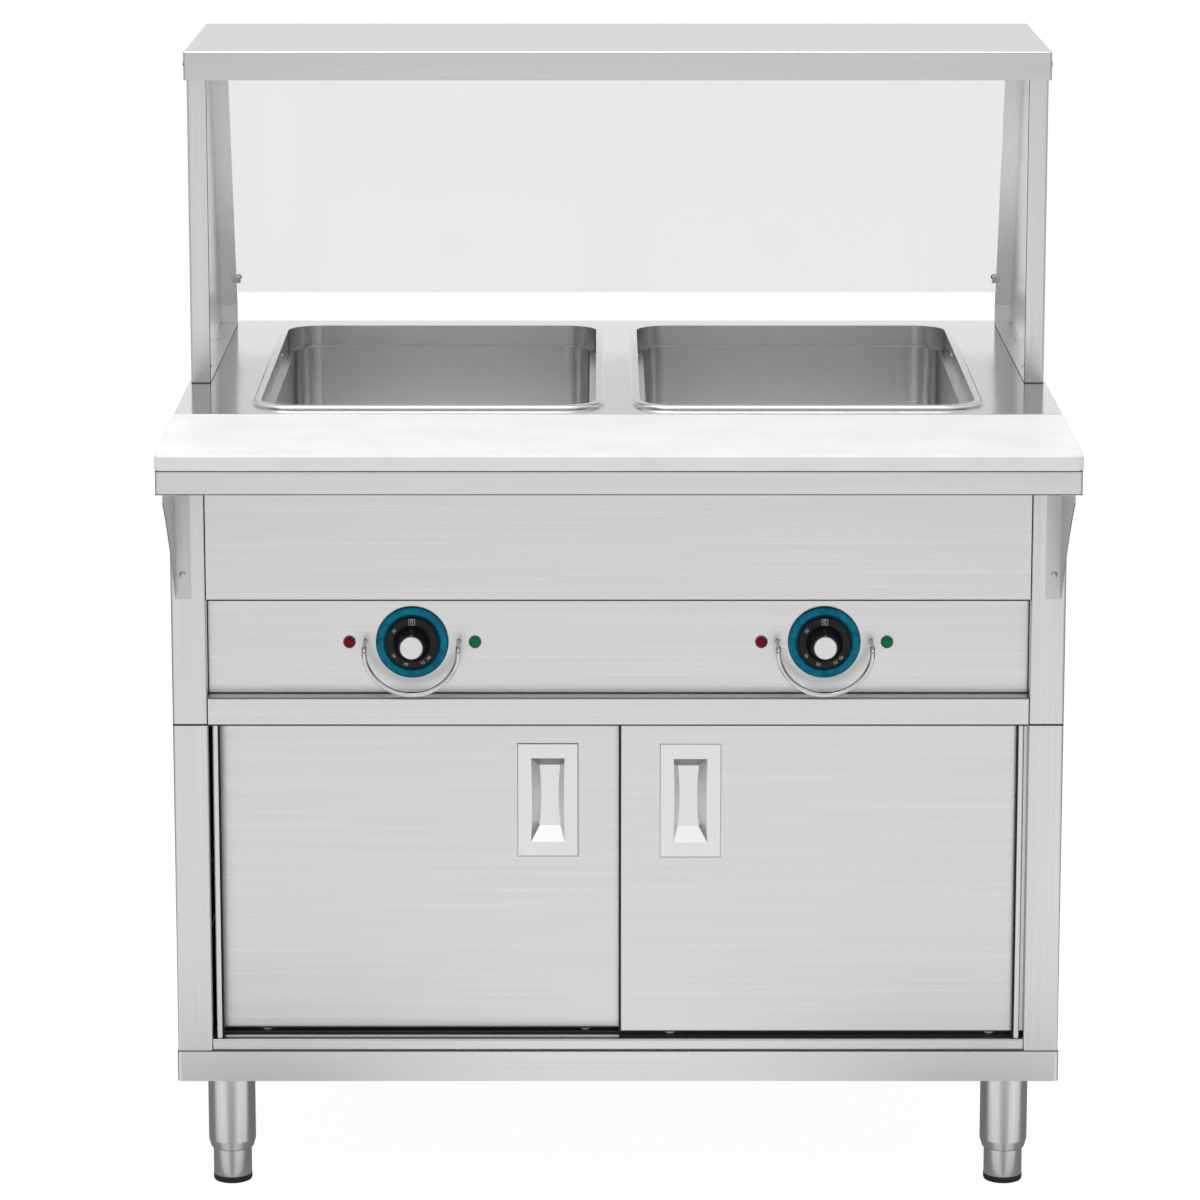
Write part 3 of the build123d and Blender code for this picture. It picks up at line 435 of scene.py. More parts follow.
def screw_tree():
    """Dome heads with a cross recess."""
    tree = new_tree("Screw heads", ("Radius", "Height"))
    group_in = tree.nodes.new("NodeGroupInput")
    radius, height = group_in.outputs["Radius"], group_in.outputs["Height"]
    ball = add_node(tree, "GeometryNodeMeshUVSphere", {"Segments": 28, "Rings": 16, "Radius": 1.0})
    dome = add_node(tree, "GeometryNodeTransform", {
        "Geometry": ball.outputs["Mesh"], "Scale": combine(tree, radius, radius, height),
    })
    across = calc(tree, "MULTIPLY", radius, 1.15)
    narrow = calc(tree, "MULTIPLY", radius, 0.24)
    lift = combine(tree, 0.0, 0.0, height)
    bars = []
    for x, y in ((across, narrow), (narrow, across)):
        bar = add_node(tree, "GeometryNodeMeshCube", {"Size": combine(tree, x, y, height)})
        bars.append(add_node(tree, "GeometryNodeTransform", {
            "Geometry": bar.outputs["Mesh"], "Translation": lift,
        }).outputs["Geometry"])
    cross = add_node(tree, "GeometryNodeMeshBoolean", operation="UNION", solver="EXACT")
    for bar in bars:
        tree.links.new(bar, cross.inputs["Mesh 2"])
    head = add_node(tree, "GeometryNodeMeshBoolean", {
        "Mesh 1": dome.outputs["Geometry"], "Mesh 2": cross.outputs["Mesh"],
    }, operation="DIFFERENCE", solver="EXACT")
    spread_on_points(tree, group_in, head.outputs["Mesh"])
    return tree


def bolt_tree():
    """Hexagon heads on round washers."""
    tree = new_tree("Bolt heads", ("Radius", "Height"))
    group_in = tree.nodes.new("NodeGroupInput")
    radius, height = group_in.outputs["Radius"], group_in.outputs["Height"]
    washer_radius = calc(tree, "MULTIPLY", radius, 1.45)
    washer_height = calc(tree, "MULTIPLY", height, 0.3)
    parts = []
    for sides, size, depth, factor in (
        (32, washer_radius, washer_height, 0.5), (6, radius, height, 0.6),
    ):
        solid = add_node(tree, "GeometryNodeMeshCylinder", {
            "Vertices": sides, "Radius": size, "Depth": depth,
        })
        lift = calc(tree, "MULTIPLY", depth, factor)
        parts.append(add_node(tree, "GeometryNodeTransform", {
            "Geometry": solid.outputs["Mesh"], "Translation": combine(tree, 0.0, 0.0, lift),
        }).outputs["Geometry"])
    whole = tree.nodes.new("GeometryNodeJoinGeometry")
    for part in parts:
        tree.links.new(part, whole.inputs["Geometry"])
    spread_on_points(tree, group_in, whole.outputs["Geometry"])
    return tree


def baked(name, source, tree, values, body):
    """Run a tree on a mesh and keep the result as a plain piece on a body."""
    holder = bpy.data.objects.new(name + "_holder", source)
    bpy.context.scene.collection.objects.link(holder)
    modifier = holder.modifiers.new("Make", "NODES")
    modifier.node_group = tree
    sockets = {item.name: item.identifier for item in tree.interface.items_tree
               if item.item_type == "SOCKET" and item.in_out == "INPUT"}
    for key, value in values.items():
        modifier[sockets[key]] = value
    bpy.context.view_layer.update()
    evaluated = holder.evaluated_get(bpy.context.evaluated_depsgraph_get())
    mesh = bpy.data.meshes.new_from_object(evaluated)
    mesh.name = name
    bpy.data.objects.remove(holder)
    return mesh_object(name, mesh, None, body)


def text_mesh(text, height, relief, place):
    """Raised text as a mesh, centred on a place whose Z points out of the surface."""
    curve = bpy.data.curves.new("number", "FONT")
    curve.body = text
    curve.size = height / FIGURE
    curve.extrude = relief
    curve.align_x = "CENTER"
    curve.align_y = "CENTER"
    holder = bpy.data.objects.new("number", curve)
    bpy.context.scene.collection.objects.link(holder)
    bpy.context.view_layer.update()
    mesh = bpy.data.meshes.new_from_object(holder.evaluated_get(bpy.context.evaluated_depsgraph_get()))
    bpy.data.objects.remove(holder)
    mesh.transform(place)
    return mesh


def joined(name, meshes):
    """One mesh from several, with doubles merged and normals outwards."""
    work = bmesh.new()
    for mesh in meshes:
        work.from_mesh(mesh)
        bpy.data.meshes.remove(mesh)
    bmesh.ops.remove_doubles(work, verts=work.verts, dist=1e-6)
    bmesh.ops.recalc_face_normals(work, faces=work.faces)
    mesh = bpy.data.meshes.new(name)
    work.to_mesh(mesh)
    work.free()
    return mesh


def bar_mesh(low, high):
    """Straight bar between two corners, with rounded edges."""
    work = bmesh.new()
    size = Vector(high) - Vector(low)
    bmesh.ops.create_cube(work, size=1.0)
    bmesh.ops.transform(work, matrix=Matrix.Diagonal((*size, 1)), verts=work.verts)
    bmesh.ops.bevel(work, geom=work.edges[:], offset=min(size) * 0.25, segments=2, affect="EDGES")
    bmesh.ops.translate(work, verts=work.verts, vec=(Vector(low) + Vector(high)) / 2)
    mesh = bpy.data.meshes.new("bar")
    work.to_mesh(mesh)
    work.free()
    return mesh


def knob_frame(side):
    """Matrix at a knob's axis on the panel: Z towards the user, Y up."""
    low, high = (Vector(corner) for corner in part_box(f"knob_core_{side}"))
    middle = (low + high) / 2
    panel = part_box("control_panel")[0][1]
    return Matrix.Translation((middle.x, panel, middle.z)) @ Matrix.Rotation(math.radians(90), 4, "X")


# Operators


class SheetMetalFinish(bpy.types.Operator):
    """Brushed finish on the sheet metal"""
    bl_idname = "steam_table.sheet_metal"
    bl_label = "Sheet metal"

    def execute(self, context):
        steel = context.scene.table_steel
        dress(("board_tray", "control_panel", "upper_front_panel", "door_head_rail", "door_left",
               "door_right"), brushed("Brushed across", steel.tone, ACROSS))
        dress(("base_rails", "upper_back_panel", "cabinet_back"),
              brushed("Brushed level", steel.tone, LEVEL))
        dress(("upper_side_left", "upper_side_right", "cabinet_side_left", "cabinet_side_right",
               "door_jambs"), brushed("Brushed upright", steel.tone, UPRIGHT))
        # Painted light: the stands get a lighter copy of the sheet tone, with painted shade on their
        # front flanges
        dress(("shelf_side_left", "shelf_side_right"),
              brushed("Lightened stand sheet", scaled(steel.tone, 1.30), UPRIGHT, level=self.painted_shade_front))
        # Painted shade: the brackets under the board get a darker copy of the sheet tone
        dress(("board_brackets",), brushed("Shaded bracket sheet", scaled(steel.tone, 0.80), UPRIGHT))
        dress(["leg_tubes"] + [f"foot_stem_{foot}" for foot in FEET],
              brushed("Turned tube", scaled(steel.tone, 0.93), UPRIGHT, roughness=0.23,
                      contrast=0.10))
        # Inner parts are darker: partly their unpolished finish, partly painted shade inside the body
        dress(("deck", "heat_trays", "door_top_track"),
              brushed("Inner sheet and shade", steel.dark_tone, ACROSS, roughness=0.42))
        # Painted shade darkens the shelf's top
        dress(("overshelf",), brushed("Shelf sheet with shaded top", steel.tone, ACROSS, level=self.painted_shade_top))
        dress(("cabinet_floor",),
              brushed("Cabinet floor sheet", steel.tone, ACROSS, level=self.dark_top))
        dress(("door_pull_left", "door_pull_right", "glass_clips"),
              brushed("Pressed steel", scaled(steel.tone, 1.06), UPRIGHT, roughness=0.24,
                      contrast=0.02, relief=0, level=self.dark_below))
        # Painted shade darkens the rims and ledges of the wells
        dress(("well_left", "well_right"),
              brushed("Well steel", steel.well_tone, UPRIGHT, roughness=0.24, contrast=0.01,
                      relief=0, level=self.painted_shade_ledge))
        dress(("counter_top",),
              brushed("Counter sheet", scaled(steel.tone, 0.82), ACROSS, roughness=0.14,
                      contrast=0.02))
        return {"FINISHED"}

    def painted_shade_front(self, shader):
        """Painted shade: the front flange of a stand is darker than its web."""
        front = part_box("shelf_side_left")[0][1]
        return shader.spread(shader.place("Y"), 0.83, 1.0, front, front + 2 * MM)

    def painted_shade_top(self, shader):
        """Painted shade: the shelf's top is a little darker than its front."""
        return shader.spread(shader.lift(), 1.0, 0.80, 0.3, 0.8)

    def dark_top(self, shader):
        """The floor under the doors lies in their shade."""
        return shader.spread(shader.lift(), 1.0, 0.25, 0.3, 0.8)

    def dark_below(self, shader):
        """The roof of a pull's recess is in shade."""
        return shader.spread(shader.lift(), 0.3, 1.0, -0.8, -0.3)

    def painted_shade_ledge(self, shader):
        """Painted shade: a darker rim round a well, and a darker ledge below it at the front and the
        sides.
        """
        back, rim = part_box("well_left")[1][1:]
        height = shader.place("Z")
        below_rim = shader.spread(height, 1.0, 0.0, rim - 10 * MM, rim - 6 * MM)
        above_wall = shader.spread(height, 0.0, 1.0, rim - 45 * MM, rim - 35 * MM)
        before_back = shader.spread(shader.place("Y"), 1.0, 0.0, back - 45 * MM, back - 35 * MM)
        ledge = shader.math("MULTIPLY", shader.math("MULTIPLY", below_rim, above_wall), before_back)
        drop = shader.spread(ledge, 0.30, 0.70, 0.0, 1.0)
        top = shader.spread(shader.lift(), 0.0, 1.0, 0.3, 0.8)
        above_floor = shader.spread(height, 0.0, 1.0, rim - 150 * MM, rim - 120 * MM)
        drop = shader.math("MULTIPLY", drop, shader.math("MULTIPLY", top, above_floor))
        return shader.math("SUBTRACT", 1.0, drop)


class BoardAndGlassFinish(bpy.types.Operator):
    """White board and clear guard glass"""
    bl_idname = "steam_table.board_and_glass"
    bl_label = "Board and glass"

    def execute(self, context):
        dress(("cutting_board",),
              moulded("White board", (0.90, 0.90, 0.895), 0.42, grain=0.06 * MM, size=700))
        glass = Shader("Guard glass", (0.815, 0.82, 0.82), 0.02, Transmission_Weight=1.0, IOR=1.15)
        haze = glass.noise(glass.object_point((3, 3, 3)), detail=2.0)
        glass.link(glass.spread(haze, 0.01, 0.035), "Roughness")
        dress(("glass_panel",), glass.material)
        return {"FINISHED"}


class ControlFinish(bpy.types.Operator):
    """Dials, rings, lamps and guards"""
    bl_idname = "steam_table.controls"
    bl_label = "Controls"

    def execute(self, context):
        dial = context.scene.table_dial
        ring = Shader("Dial ring", dial.ring_colour, 0.22, Specular_IOR_Level=0.10)
        cloud = ring.noise(ring.object_point((90, 90, 90)), detail=6.0, roughness=0.7)
        mottled = ring.tint(ring.spread(cloud, 0, 1, 0.38, 0.66), scaled(dial.ring_colour, 0.72),
                            scaled(dial.ring_colour, 1.5))
        ring.link(ring.dimmed(mottled, self.outline(ring)), "Base Color")
        dress(("dial_plates",), ring.material)
        dress(("knob_dial_left", "knob_dial_right"),
              moulded("Dial black", (0.011, 0.012, 0.013), 0.33, grain=0.04 * MM, size=1500,
                      Specular_IOR_Level=0.22))
        dress(("knob_core_left", "knob_core_right"),
              brushed("Satin cap", (0.74, 0.745, 0.75), ACROSS, roughness=0.3, contrast=0.08))
        dress(("lamp_bodies",), moulded("Lamp rim", (0.07, 0.06, 0.06), 0.3))
        for lenses, name, colour in (
            ("red_lenses", "Red lens", (0.23, 0.002, 0.008)),
            ("green_lenses", "Green lens", (0.0, 0.22, 0.066)),
        ):
            dress((lenses,), moulded(name, colour, 0.25, Specular_IOR_Level=0.12))
        dress(("knob_guards",),
              brushed("Polished wire", (0.64, 0.65, 0.66), UPRIGHT, roughness=0.05, contrast=0.04,
                      relief=0))
        return {"FINISHED"}

    def outline(self, shader):
        """Dark line at the rim of the dial plates, by the distance from the knob's axis."""
        low, high = (Vector(corner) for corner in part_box("dial_plates"))
        radius = (high.z - low.z) / 2
        across = shader.math("ABSOLUTE", shader.place("X"))
        across = shader.math("SUBTRACT", across, high.x - radius)
        up = shader.math("SUBTRACT", shader.place("Z"), (high.z + low.z) / 2)
        square = shader.math("ADD", shader.math("POWER", across, 2.0), shader.math("POWER", up, 2.0))
        distance = shader.math("SQRT", square)
        return shader.spread(distance, 1.0, 0.3, radius - 1.6 * MM, radius - 0.5 * MM)


class SmallPartFinish(bpy.types.Operator):
    """Feet caps, rollers, drains, heaters and electrical parts"""
    bl_idname = "steam_table.small_parts"
    bl_label = "Small parts"

    def execute(self, context):
        dress(["cable_gland"] + [f"foot_pad_{foot}" for foot in FEET],
              moulded("Black plastic", (0.014, 0.014, 0.015), 0.48, grain=0.05 * MM, size=800))
        dress(("roller_left_a", "roller_left_b", "roller_right_a", "roller_right_b"),
              moulded("Acetal", (0.80, 0.80, 0.77), 0.4))
        dress(("drain_valves",), brushed("Cast brass", (0.60, 0.47, 0.22), CAST, roughness=0.38))
        dress(("drain_lever_left", "drain_lever_right"),
              moulded("Red enamel", (0.42, 0.02, 0.015), 0.3))
        dress(("heating_elements",),
              brushed("Heater sheath", (0.24, 0.22, 0.20), CAST, roughness=0.5))
        # The bottom track is black: partly a black plastic track, partly painted shade under the doors
        dress(("door_bottom_track",), moulded("Black track and shade", (0.02, 0.02, 0.021), 0.5))
        dress(("thermostats", "terminal_block"), moulded("Cream thermoset", (0.72, 0.68, 0.58), 0.5))
        return {"FINISHED"}


class DialNumbers(bpy.types.Operator):
    """Plain numbers, a window frame and a pointer on each dial"""
    bl_idname = "steam_table.dial_numbers"
    bl_label = "Dial numbers"

    FACE = 9 * MM   # the dial's face in front of the panel
    MARKS = (("0", 90), ("30", 145), ("45", 215), ("60", 254), ("75", 300), ("90", 319))

    def execute(self, context):
        dial = context.scene.table_dial
        ink = moulded("Dial print", (0.62, 0.62, 0.60), 0.5, grain=0.02 * MM)
        for side in ("left", "right"):
            base = knob_frame(side)
            meshes = self.numbers(dial) + [self.window(dial), self.pointer()]
            for mesh in meshes:
                mesh.transform(base)
            name = f"dial_numbers_{side}"
            piece = mesh_object(name, joined(name, meshes), ink, f"knob_{side}")
        return {"FINISHED"}

    def numbers(self, dial):
        """The numbers round the dial; a single figure is taller."""
        meshes = []
        upright = Matrix.Rotation(math.radians(-90), 4, "Z")
        for text, angle in self.MARKS:
            turn = Matrix.Rotation(math.radians(angle), 4, "Z")
            spot = turn @ Matrix.Translation((dial.number_radius, 0, self.FACE))
            height = dial.number_height * (1.0 if len(text) > 1 else 1.35)
            meshes.append(text_mesh(text, height, dial.number_relief, spot @ upright))
        return meshes

    def window(self, dial):
        """Square frame round the top number."""
        outer, relief = dial.number_height * 0.98, dial.number_relief
        inner = outer * 0.84
        corners = ((-1, -1), (1, -1), (1, 1), (-1, 1))
        work = bmesh.new()
        low_outer, top_outer, low_inner, top_inner = (
            [work.verts.new((x * half, y * half, z)) for x, y in corners]
            for half, z in ((outer, -relief), (outer, relief), (inner, -relief), (inner, relief))
        )
        for first, second in (
            (low_outer, low_inner), (top_outer, top_inner), (low_outer, top_outer),
            (low_inner, top_inner),
        ):
            for a, b in ((0, 1), (1, 2), (2, 3), (3, 0)):
                work.faces.new((first[a], first[b], second[b], second[a]))
        mesh = bpy.data.meshes.new("window")
        work.to_mesh(mesh)
        work.free()
        mesh.transform(Matrix.Translation((0, dial.number_radius, self.FACE)))
        return mesh

    def pointer(self):
        """Short line on the tip of the hub, above the cap."""
        return bar_mesh((-0.5 * MM, 11.6 * MM, 28.6 * MM), (0.5 * MM, 12.9 * MM, 29.5 * MM))


class PaintedShadowStrips(bpy.types.Operator):
    """Black strips and lines that paint the shadows at the doors and between the sheets, and a bright
    bar that paints a reflection on the sill
    """
    bl_idname = "steam_table.seals"
    bl_label = "Painted shadows and highlight"

    def execute(self, context):
        shadow_strips = context.scene.table_seals
        # Painted shadow: black strips at the doors and in the gap under the upper body
        shadow_black = moulded("Shadow black", (0.012, 0.012, 0.012), 0.6)
        # Painted shadow: dark lines between the sheets and under the stands
        seam_shadow = moulded("Seam shadow", shadow_strips.shadow_line_colour, 0.7)
        # Painted reflection: the sill's bar gets a lighter copy of the sheet tone
        lip_highlight = brushed("Lip highlight", scaled(context.scene.table_steel.tone, 1.2), ACROSS)
        jambs = self.jamb_shadow_strips(shadow_strips.jamb_width, shadow_strips.shadow_strip_width)
        self.piece("post_gap_shadow", self.gap_shadow_bars(), shadow_black, "frame")
        self.piece("jamb_shadow_strips", jambs, shadow_black, "frame")
        self.piece("door_shadow_strip", self.door_shadow_strip(shadow_strips.shadow_strip_width), shadow_black, "door_right")
        self.piece("panel_shadow_lines", self.panel_shadow_lines(shadow_strips.shadow_line_height), seam_shadow, "frame")
        self.piece("shelf_shadow_lines", self.shelf_shadow_lines(shadow_strips.shadow_line_height), seam_shadow, "frame")
        self.piece("track_lip_highlight", self.track_lip_highlight(), lip_highlight, "frame", "steel")
        return {"FINISHED"}

    def piece(self, name, spans, material, body, slot="foot_black"):
        """One piece of rounded bars, each given by two corners."""
        mesh = joined(name, [bar_mesh(*span) for span in spans])
        thing = mesh_object(name, mesh, material, body)

    def track_lip_highlight(self):
        """Bright bar on the sill in front of the left door only, a painted reflection of the light the
        sill catches there.
        """
        jamb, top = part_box("door_jambs")[0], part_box("cabinet_floor")[1][2]
        left, front = jamb[0] + 8.5 * MM, jamb[1] + 3.4 * MM
        return [((left, front, top), (1 * MM, front + 3 * MM, top + 1.6 * MM))]

    def gap_shadow_bars(self):
        """Four black bars in the gap between the cabinet and the upper body, as painted shadow."""
        (outer, front, _), (inner, _, top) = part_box("cabinet_side_left")
        back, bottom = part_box("upper_side_left")[1][1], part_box("upper_side_left")[0][2]
        wide = 2 * MM
        spans = []
        for sign in (-1, 1):
            left, right = sorted((sign * outer, sign * inner))
            spans.append(((left, front - 0.2 * MM, top), (right, front + wide, bottom)))
            left, right = sorted((sign * outer, sign * (outer + wide)))
            spans.append(((left, front + wide, top), (right, back, bottom)))
        return spans

    def jamb_shadow_strips(self, jamb_width, width):
        """Black upright bars on the inner edges of the channels beside the doors, as painted shadow
        lines.
        """
        low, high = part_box("door_jambs")
        inner = high[0] - jamb_width
        spans = []
        for sign in (-1, 1):
            left, right = sorted((sign * inner, sign * (inner - width)))
            spans.append(((left, low[1], low[2]), (right, low[1] + 3 * MM, high[2])))
        return spans

    def door_shadow_strip(self, width):
        """Black bar on the left edge of the right door, as a painted shadow line between the doors."""
        low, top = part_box("door_right")[0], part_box("door_head_rail")[0][2] - MM
        return [((low[0] - width, low[1], low[2]), (low[0], low[1] + 2.5 * MM, top))]

    def panel_shadow_lines(self, height):
        """Painted shadow lines along the board, the tray, the panels, the head rail and the base."""
        tray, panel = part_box("board_tray"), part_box("upper_front_panel")
        rail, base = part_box("door_head_rail"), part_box("base_rails")
        rows = (
            (tray, tray[1][2] - height), (tray, tray[0][2]), (panel, panel[0][2]),
            (rail, rail[1][2] - height), (rail, rail[0][2]), (base, base[1][2] - height),
        )
        return [((low[0], low[1] - PROUD, z), (high[0], low[1] - PROUD + MM, z + height))
                for (low, high), z in rows]

    def shelf_shadow_lines(self, height):
        """Painted shadow lines under the stands of the overshelf, and up the inner edges of their
        flanges.
        """
        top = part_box("overshelf")[0][2]
        spans = []
        for side, sign in (("left", 1), ("right", -1)):
            low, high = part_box(f"shelf_side_{side}")
            inner = high[0] if sign > 0 else low[0]
            front, base = low[1], low[2]
            spans.append(((low[0], front - PROUD, base), (high[0], front + MM, base + height)))
            left, right = sorted((inner + sign * PROUD, inner - sign * MM))
            spans.append(((left, front + MM, base), (right, high[1], base + height)))
            left, right = sorted((inner + sign * PROUD, inner - sign * 0.4 * MM))
            spans.append(((left, front - PROUD, base), (right, front + MM, top)))
        return spans


class ScrewHeads(bpy.types.Operator):
    """Dome-headed screws on the outside, and the studs inside the wells"""
    bl_idname = "steam_table.screws"
    bl_label = "Screws"

    WALL = 9.3 * MM   # from the edge of a well's rim to the face of its wall

    def execute(self, context):
        sizes = context.scene.table_fasteners
        steel = brushed("Screw steel", (0.66, 0.66, 0.67), ACROSS, roughness=0.25, contrast=0.05)
        for name, places, radius, height in (
            ("screws", self.screws(), sizes.screw_radius, sizes.screw_height),
            ("well_studs", self.studs(), sizes.stud_radius, sizes.stud_radius * 0.6),
        ):
            piece = baked(name, points_mesh(f"{name}_points", places), screw_tree(), {
                "Radius": radius, "Height": height, "Material": steel,
            }, "frame")
        return {"FINISHED"}

    def screws(self):
        """Places on the brackets, the feet of the stands, the shelf's ends and the rear panels."""
        bracket, counter, shelf = map(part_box, ("board_brackets", "counter_top", "overshelf"))
        places = []
        for sign in (-1, 1):
            plate = (sign * 434.5 * MM, bracket[1][1] - SHEET, bracket[0][2] + 25 * MM)
            places.append((Vector(plate), FRONT))
            for x, y in ((438.9, 285), (435.4, 102)):
                foot = (sign * x * MM, y * MM, counter[1][2] + SHEET)
                places.append((Vector(foot), UP))
            for y in (shelf[0][1] + 12 * MM, shelf[1][1] - 40 * MM):
                end = (sign * shelf[1][0], y, shelf[0][2] + 16 * MM)
                places.append((Vector(end), Vector((sign, 0, 0))))
            for panel in ("upper_back_panel", "cabinet_back"):
                low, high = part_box(panel)
                for z in (low[2] + 30 * MM, high[2] - 30 * MM):
                    places.append((Vector((sign * 424 * MM, 425 * MM, z)), BACK))
        return places

    def studs(self):
        """Places on the side walls of the wells, just below their rims."""
        places = []
        for name in ("well_left", "well_right"):
            low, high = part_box(name)
            for x, sign in ((low[0] + self.WALL, 1), (high[0] - self.WALL, -1)):
                places.append((Vector((x, 217 * MM, high[2] - 10 * MM)), Vector((sign, 0, 0))))
        return places


class LegBolts(bpy.types.Operator):
    """Hexagon bolts that hold the leg plates"""
    bl_idname = "steam_table.leg_bolts"
    bl_label = "Leg bolts"

    PLATE = 2.5 * MM   # thickness of a leg's plate
    REACH = 36 * MM    # from a leg's axis to its bolts, along X and along Y

    def execute(self, context):
        sizes = context.scene.table_fasteners
        steel = brushed("Bolt zinc", (0.55, 0.55, 0.56), CAST, roughness=0.35, contrast=0.08)
        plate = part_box("leg_tubes")[1][2] - self.PLATE
        middle_y = 60 * MM
        places = []
        for foot in FEET:
            low, high = (Vector(corner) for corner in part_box(f"foot_stem_{foot}"))
            leg = (low + high) / 2
            x = -math.copysign(self.REACH, leg.x)
            y = math.copysign(self.REACH, middle_y - leg.y)
            for across, along in ((1, 1), (1, -0.3), (-0.3, 1)):
                places.append((Vector((leg.x + x * across, leg.y + y * along, plate)), DOWN))
        piece = baked("leg_bolts", points_mesh("bolt_points", places), bolt_tree(), {
            "Radius": sizes.bolt_radius, "Height": sizes.bolt_height, "Material": steel,
        }, "frame")
        return {"FINISHED"}


class Stage(bpy.types.Operator):
    """Pale floor, even light and camera"""
    bl_idname = "steam_table.stage"
    bl_label = "Stage"

    # Where the floor's gloss levels change: along Y, and across from the middle
    FAR_FLOOR, UNDER_FRONT, UNDER_BACK = (-26.0, -9.0), (-0.46, -0.20), (0.6, 1.4)
    WINGS, STRIP_START, STRIP_END = (0.9, 2.6), (1.8, 2.0), (2.7, 3.0)
    # Reach of the legs' shade along Y, and its spread as width over distance
    LEG_REACH, LEG_SLANT = (-0.86, -0.70), (0.05, 0.85)

    # Where the world's gloss levels change, on the axes of a direction of length 1
    FLAG_SIDE, FLAG_TOP = (0.35, 0.85), (0.25, 0.75)
    BAND_FRONT, BAND_FOOT, BAND_TOP = (-0.5, -0.2), (0.06, 0.10), (0.26, 0.36)

    KEY_PLACE, KEY_AIM, KEY_SIZE = (-0.6, -0.7, 4.0), (0.0, -0.1, 0.8), 3.0
    WHITE = 1.02   # shows as plain white

    def execute(self, context):
        stage = context.scene.table_stage
        scene = context.scene
        scene.view_settings.view_transform = "Standard"
        self.camera(scene, stage)
        self.floor(scene, stage)
        self.world(scene, stage)
        self.key_light(scene, stage.key_power)
        return {"FINISHED"}

    def camera(self, scene, stage):
        camera = bpy.data.cameras.new("Camera")
        camera.lens = stage.lens
        camera.sensor_width = 36.0
        eye = bpy.data.objects.new("Camera", camera)
        eye.location = stage.camera_place
        eye.rotation_euler = (math.radians(90) - stage.camera_pitch, 0, 0)
        scene.collection.objects.link(eye)
        scene.camera = eye

    def floor(self, scene, stage):
        half = stage.floor_half
        corners = [(-half, -half, 0), (half, -half, 0), (half, half, 0), (-half, half, 0)]
        mesh = bpy.data.meshes.new("floor")
        mesh.from_pydata(corners, [], [(0, 1, 2, 3)])
        mesh.materials.append(self.floor_material(stage))
        floor = bpy.data.objects.new("floor", mesh)
        scene.collection.objects.link(floor)

    def key_light(self, scene, power):
        light = bpy.data.lights.new("Key", "AREA")
        light.energy = power
        light.size = self.KEY_SIZE
        lamp = bpy.data.objects.new("Key", light)
        lamp.location = self.KEY_PLACE
        way = Vector(self.KEY_AIM) - Vector(self.KEY_PLACE)
        lamp.rotation_euler = way.to_track_quat("-Z", "Y").to_euler()
        scene.collection.objects.link(lamp)

    def ray_share(self, tree, *kinds):
        """1 for rays of any of the named kinds, else 0."""
        path = add_node(tree, "ShaderNodeLightPath")
        share = path.outputs[kinds[0]]
        for kind in kinds[1:]:
            share = calc(tree, "MAXIMUM", share, path.outputs[kind])
        return share

    def ramp(self, tree, value, ends, low, high):
        """Soft step from low to high as a value runs from one end to the other."""
        return add_node(tree, "ShaderNodeMapRange", {
            "Value": value, "From Min": ends[0], "From Max": ends[1], "To Min": low, "To Max": high,
        }, interpolation_type="SMOOTHSTEP").outputs["Result"]

    def product(self, tree, first, *others):
        for other in others:
            first = calc(tree, "MULTIPLY", first, other)
        return first

    def between(self, tree, share, low, high):
        """Number between low and high by a share."""
        ends = {"Factor": share, 2: low, 3: high}
        return add_node(tree, "ShaderNodeMix", ends, data_type="FLOAT").outputs[0]

    def axes(self, tree, output):
        """Distance from the middle along X, and the places along Y and Z."""
        place = add_node(tree, "ShaderNodeTexCoord")
        split = add_node(tree, "ShaderNodeSeparateXYZ", {"Vector": place.outputs[output]})
        return calc(tree, "ABSOLUTE", split.outputs["X"]), split.outputs["Y"], split.outputs["Z"]

    def floor_gloss(self, tree, stage):
        """Level in gloss: dim below the table, far in front, at the sides and by the legs."""
        x, y, _ = self.axes(tree, "Object")
        far = self.ramp(tree, y, self.FAR_FLOOR, stage.far_level, self.WHITE)
        below = self.ramp(tree, y, self.UNDER_FRONT, 1.0, stage.below_level)
        behind = self.ramp(tree, y, self.UNDER_BACK, stage.below_level, 1.0)
        near = calc(tree, "MAXIMUM", below, behind)
        wings = self.ramp(tree, x, self.WINGS, 1.0, stage.wing_level)
        strip_start = self.ramp(tree, x, self.STRIP_START, 1.0, stage.strip_level)
        strip_end = self.ramp(tree, x, self.STRIP_END, stage.strip_level, 1.0)
        strip = calc(tree, "MAXIMUM", strip_start, strip_end)
        return self.product(tree, far, near, wings, strip, self.leg_shade(tree, stage, x, y))

    def leg_shade(self, tree, stage, x, y):
        """Share that is left in the shade straight in front of each leg."""
        low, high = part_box("foot_pad_front_right")
        off = calc(tree, "ABSOLUTE", calc(tree, "SUBTRACT", x, (low[0] + high[0]) / 2))
        ahead = calc(tree, "SUBTRACT", low[1] - 20 * MM, y)
        past = self.ramp(tree, y, self.LEG_REACH, 1.0, 0.0)
        beside = self.ramp(tree, calc(tree, "DIVIDE", off, ahead), self.LEG_SLANT, 0.0, 1.0)
        return self.between(tree, calc(tree, "MAXIMUM", past, beside), stage.leg_level, 1.0)

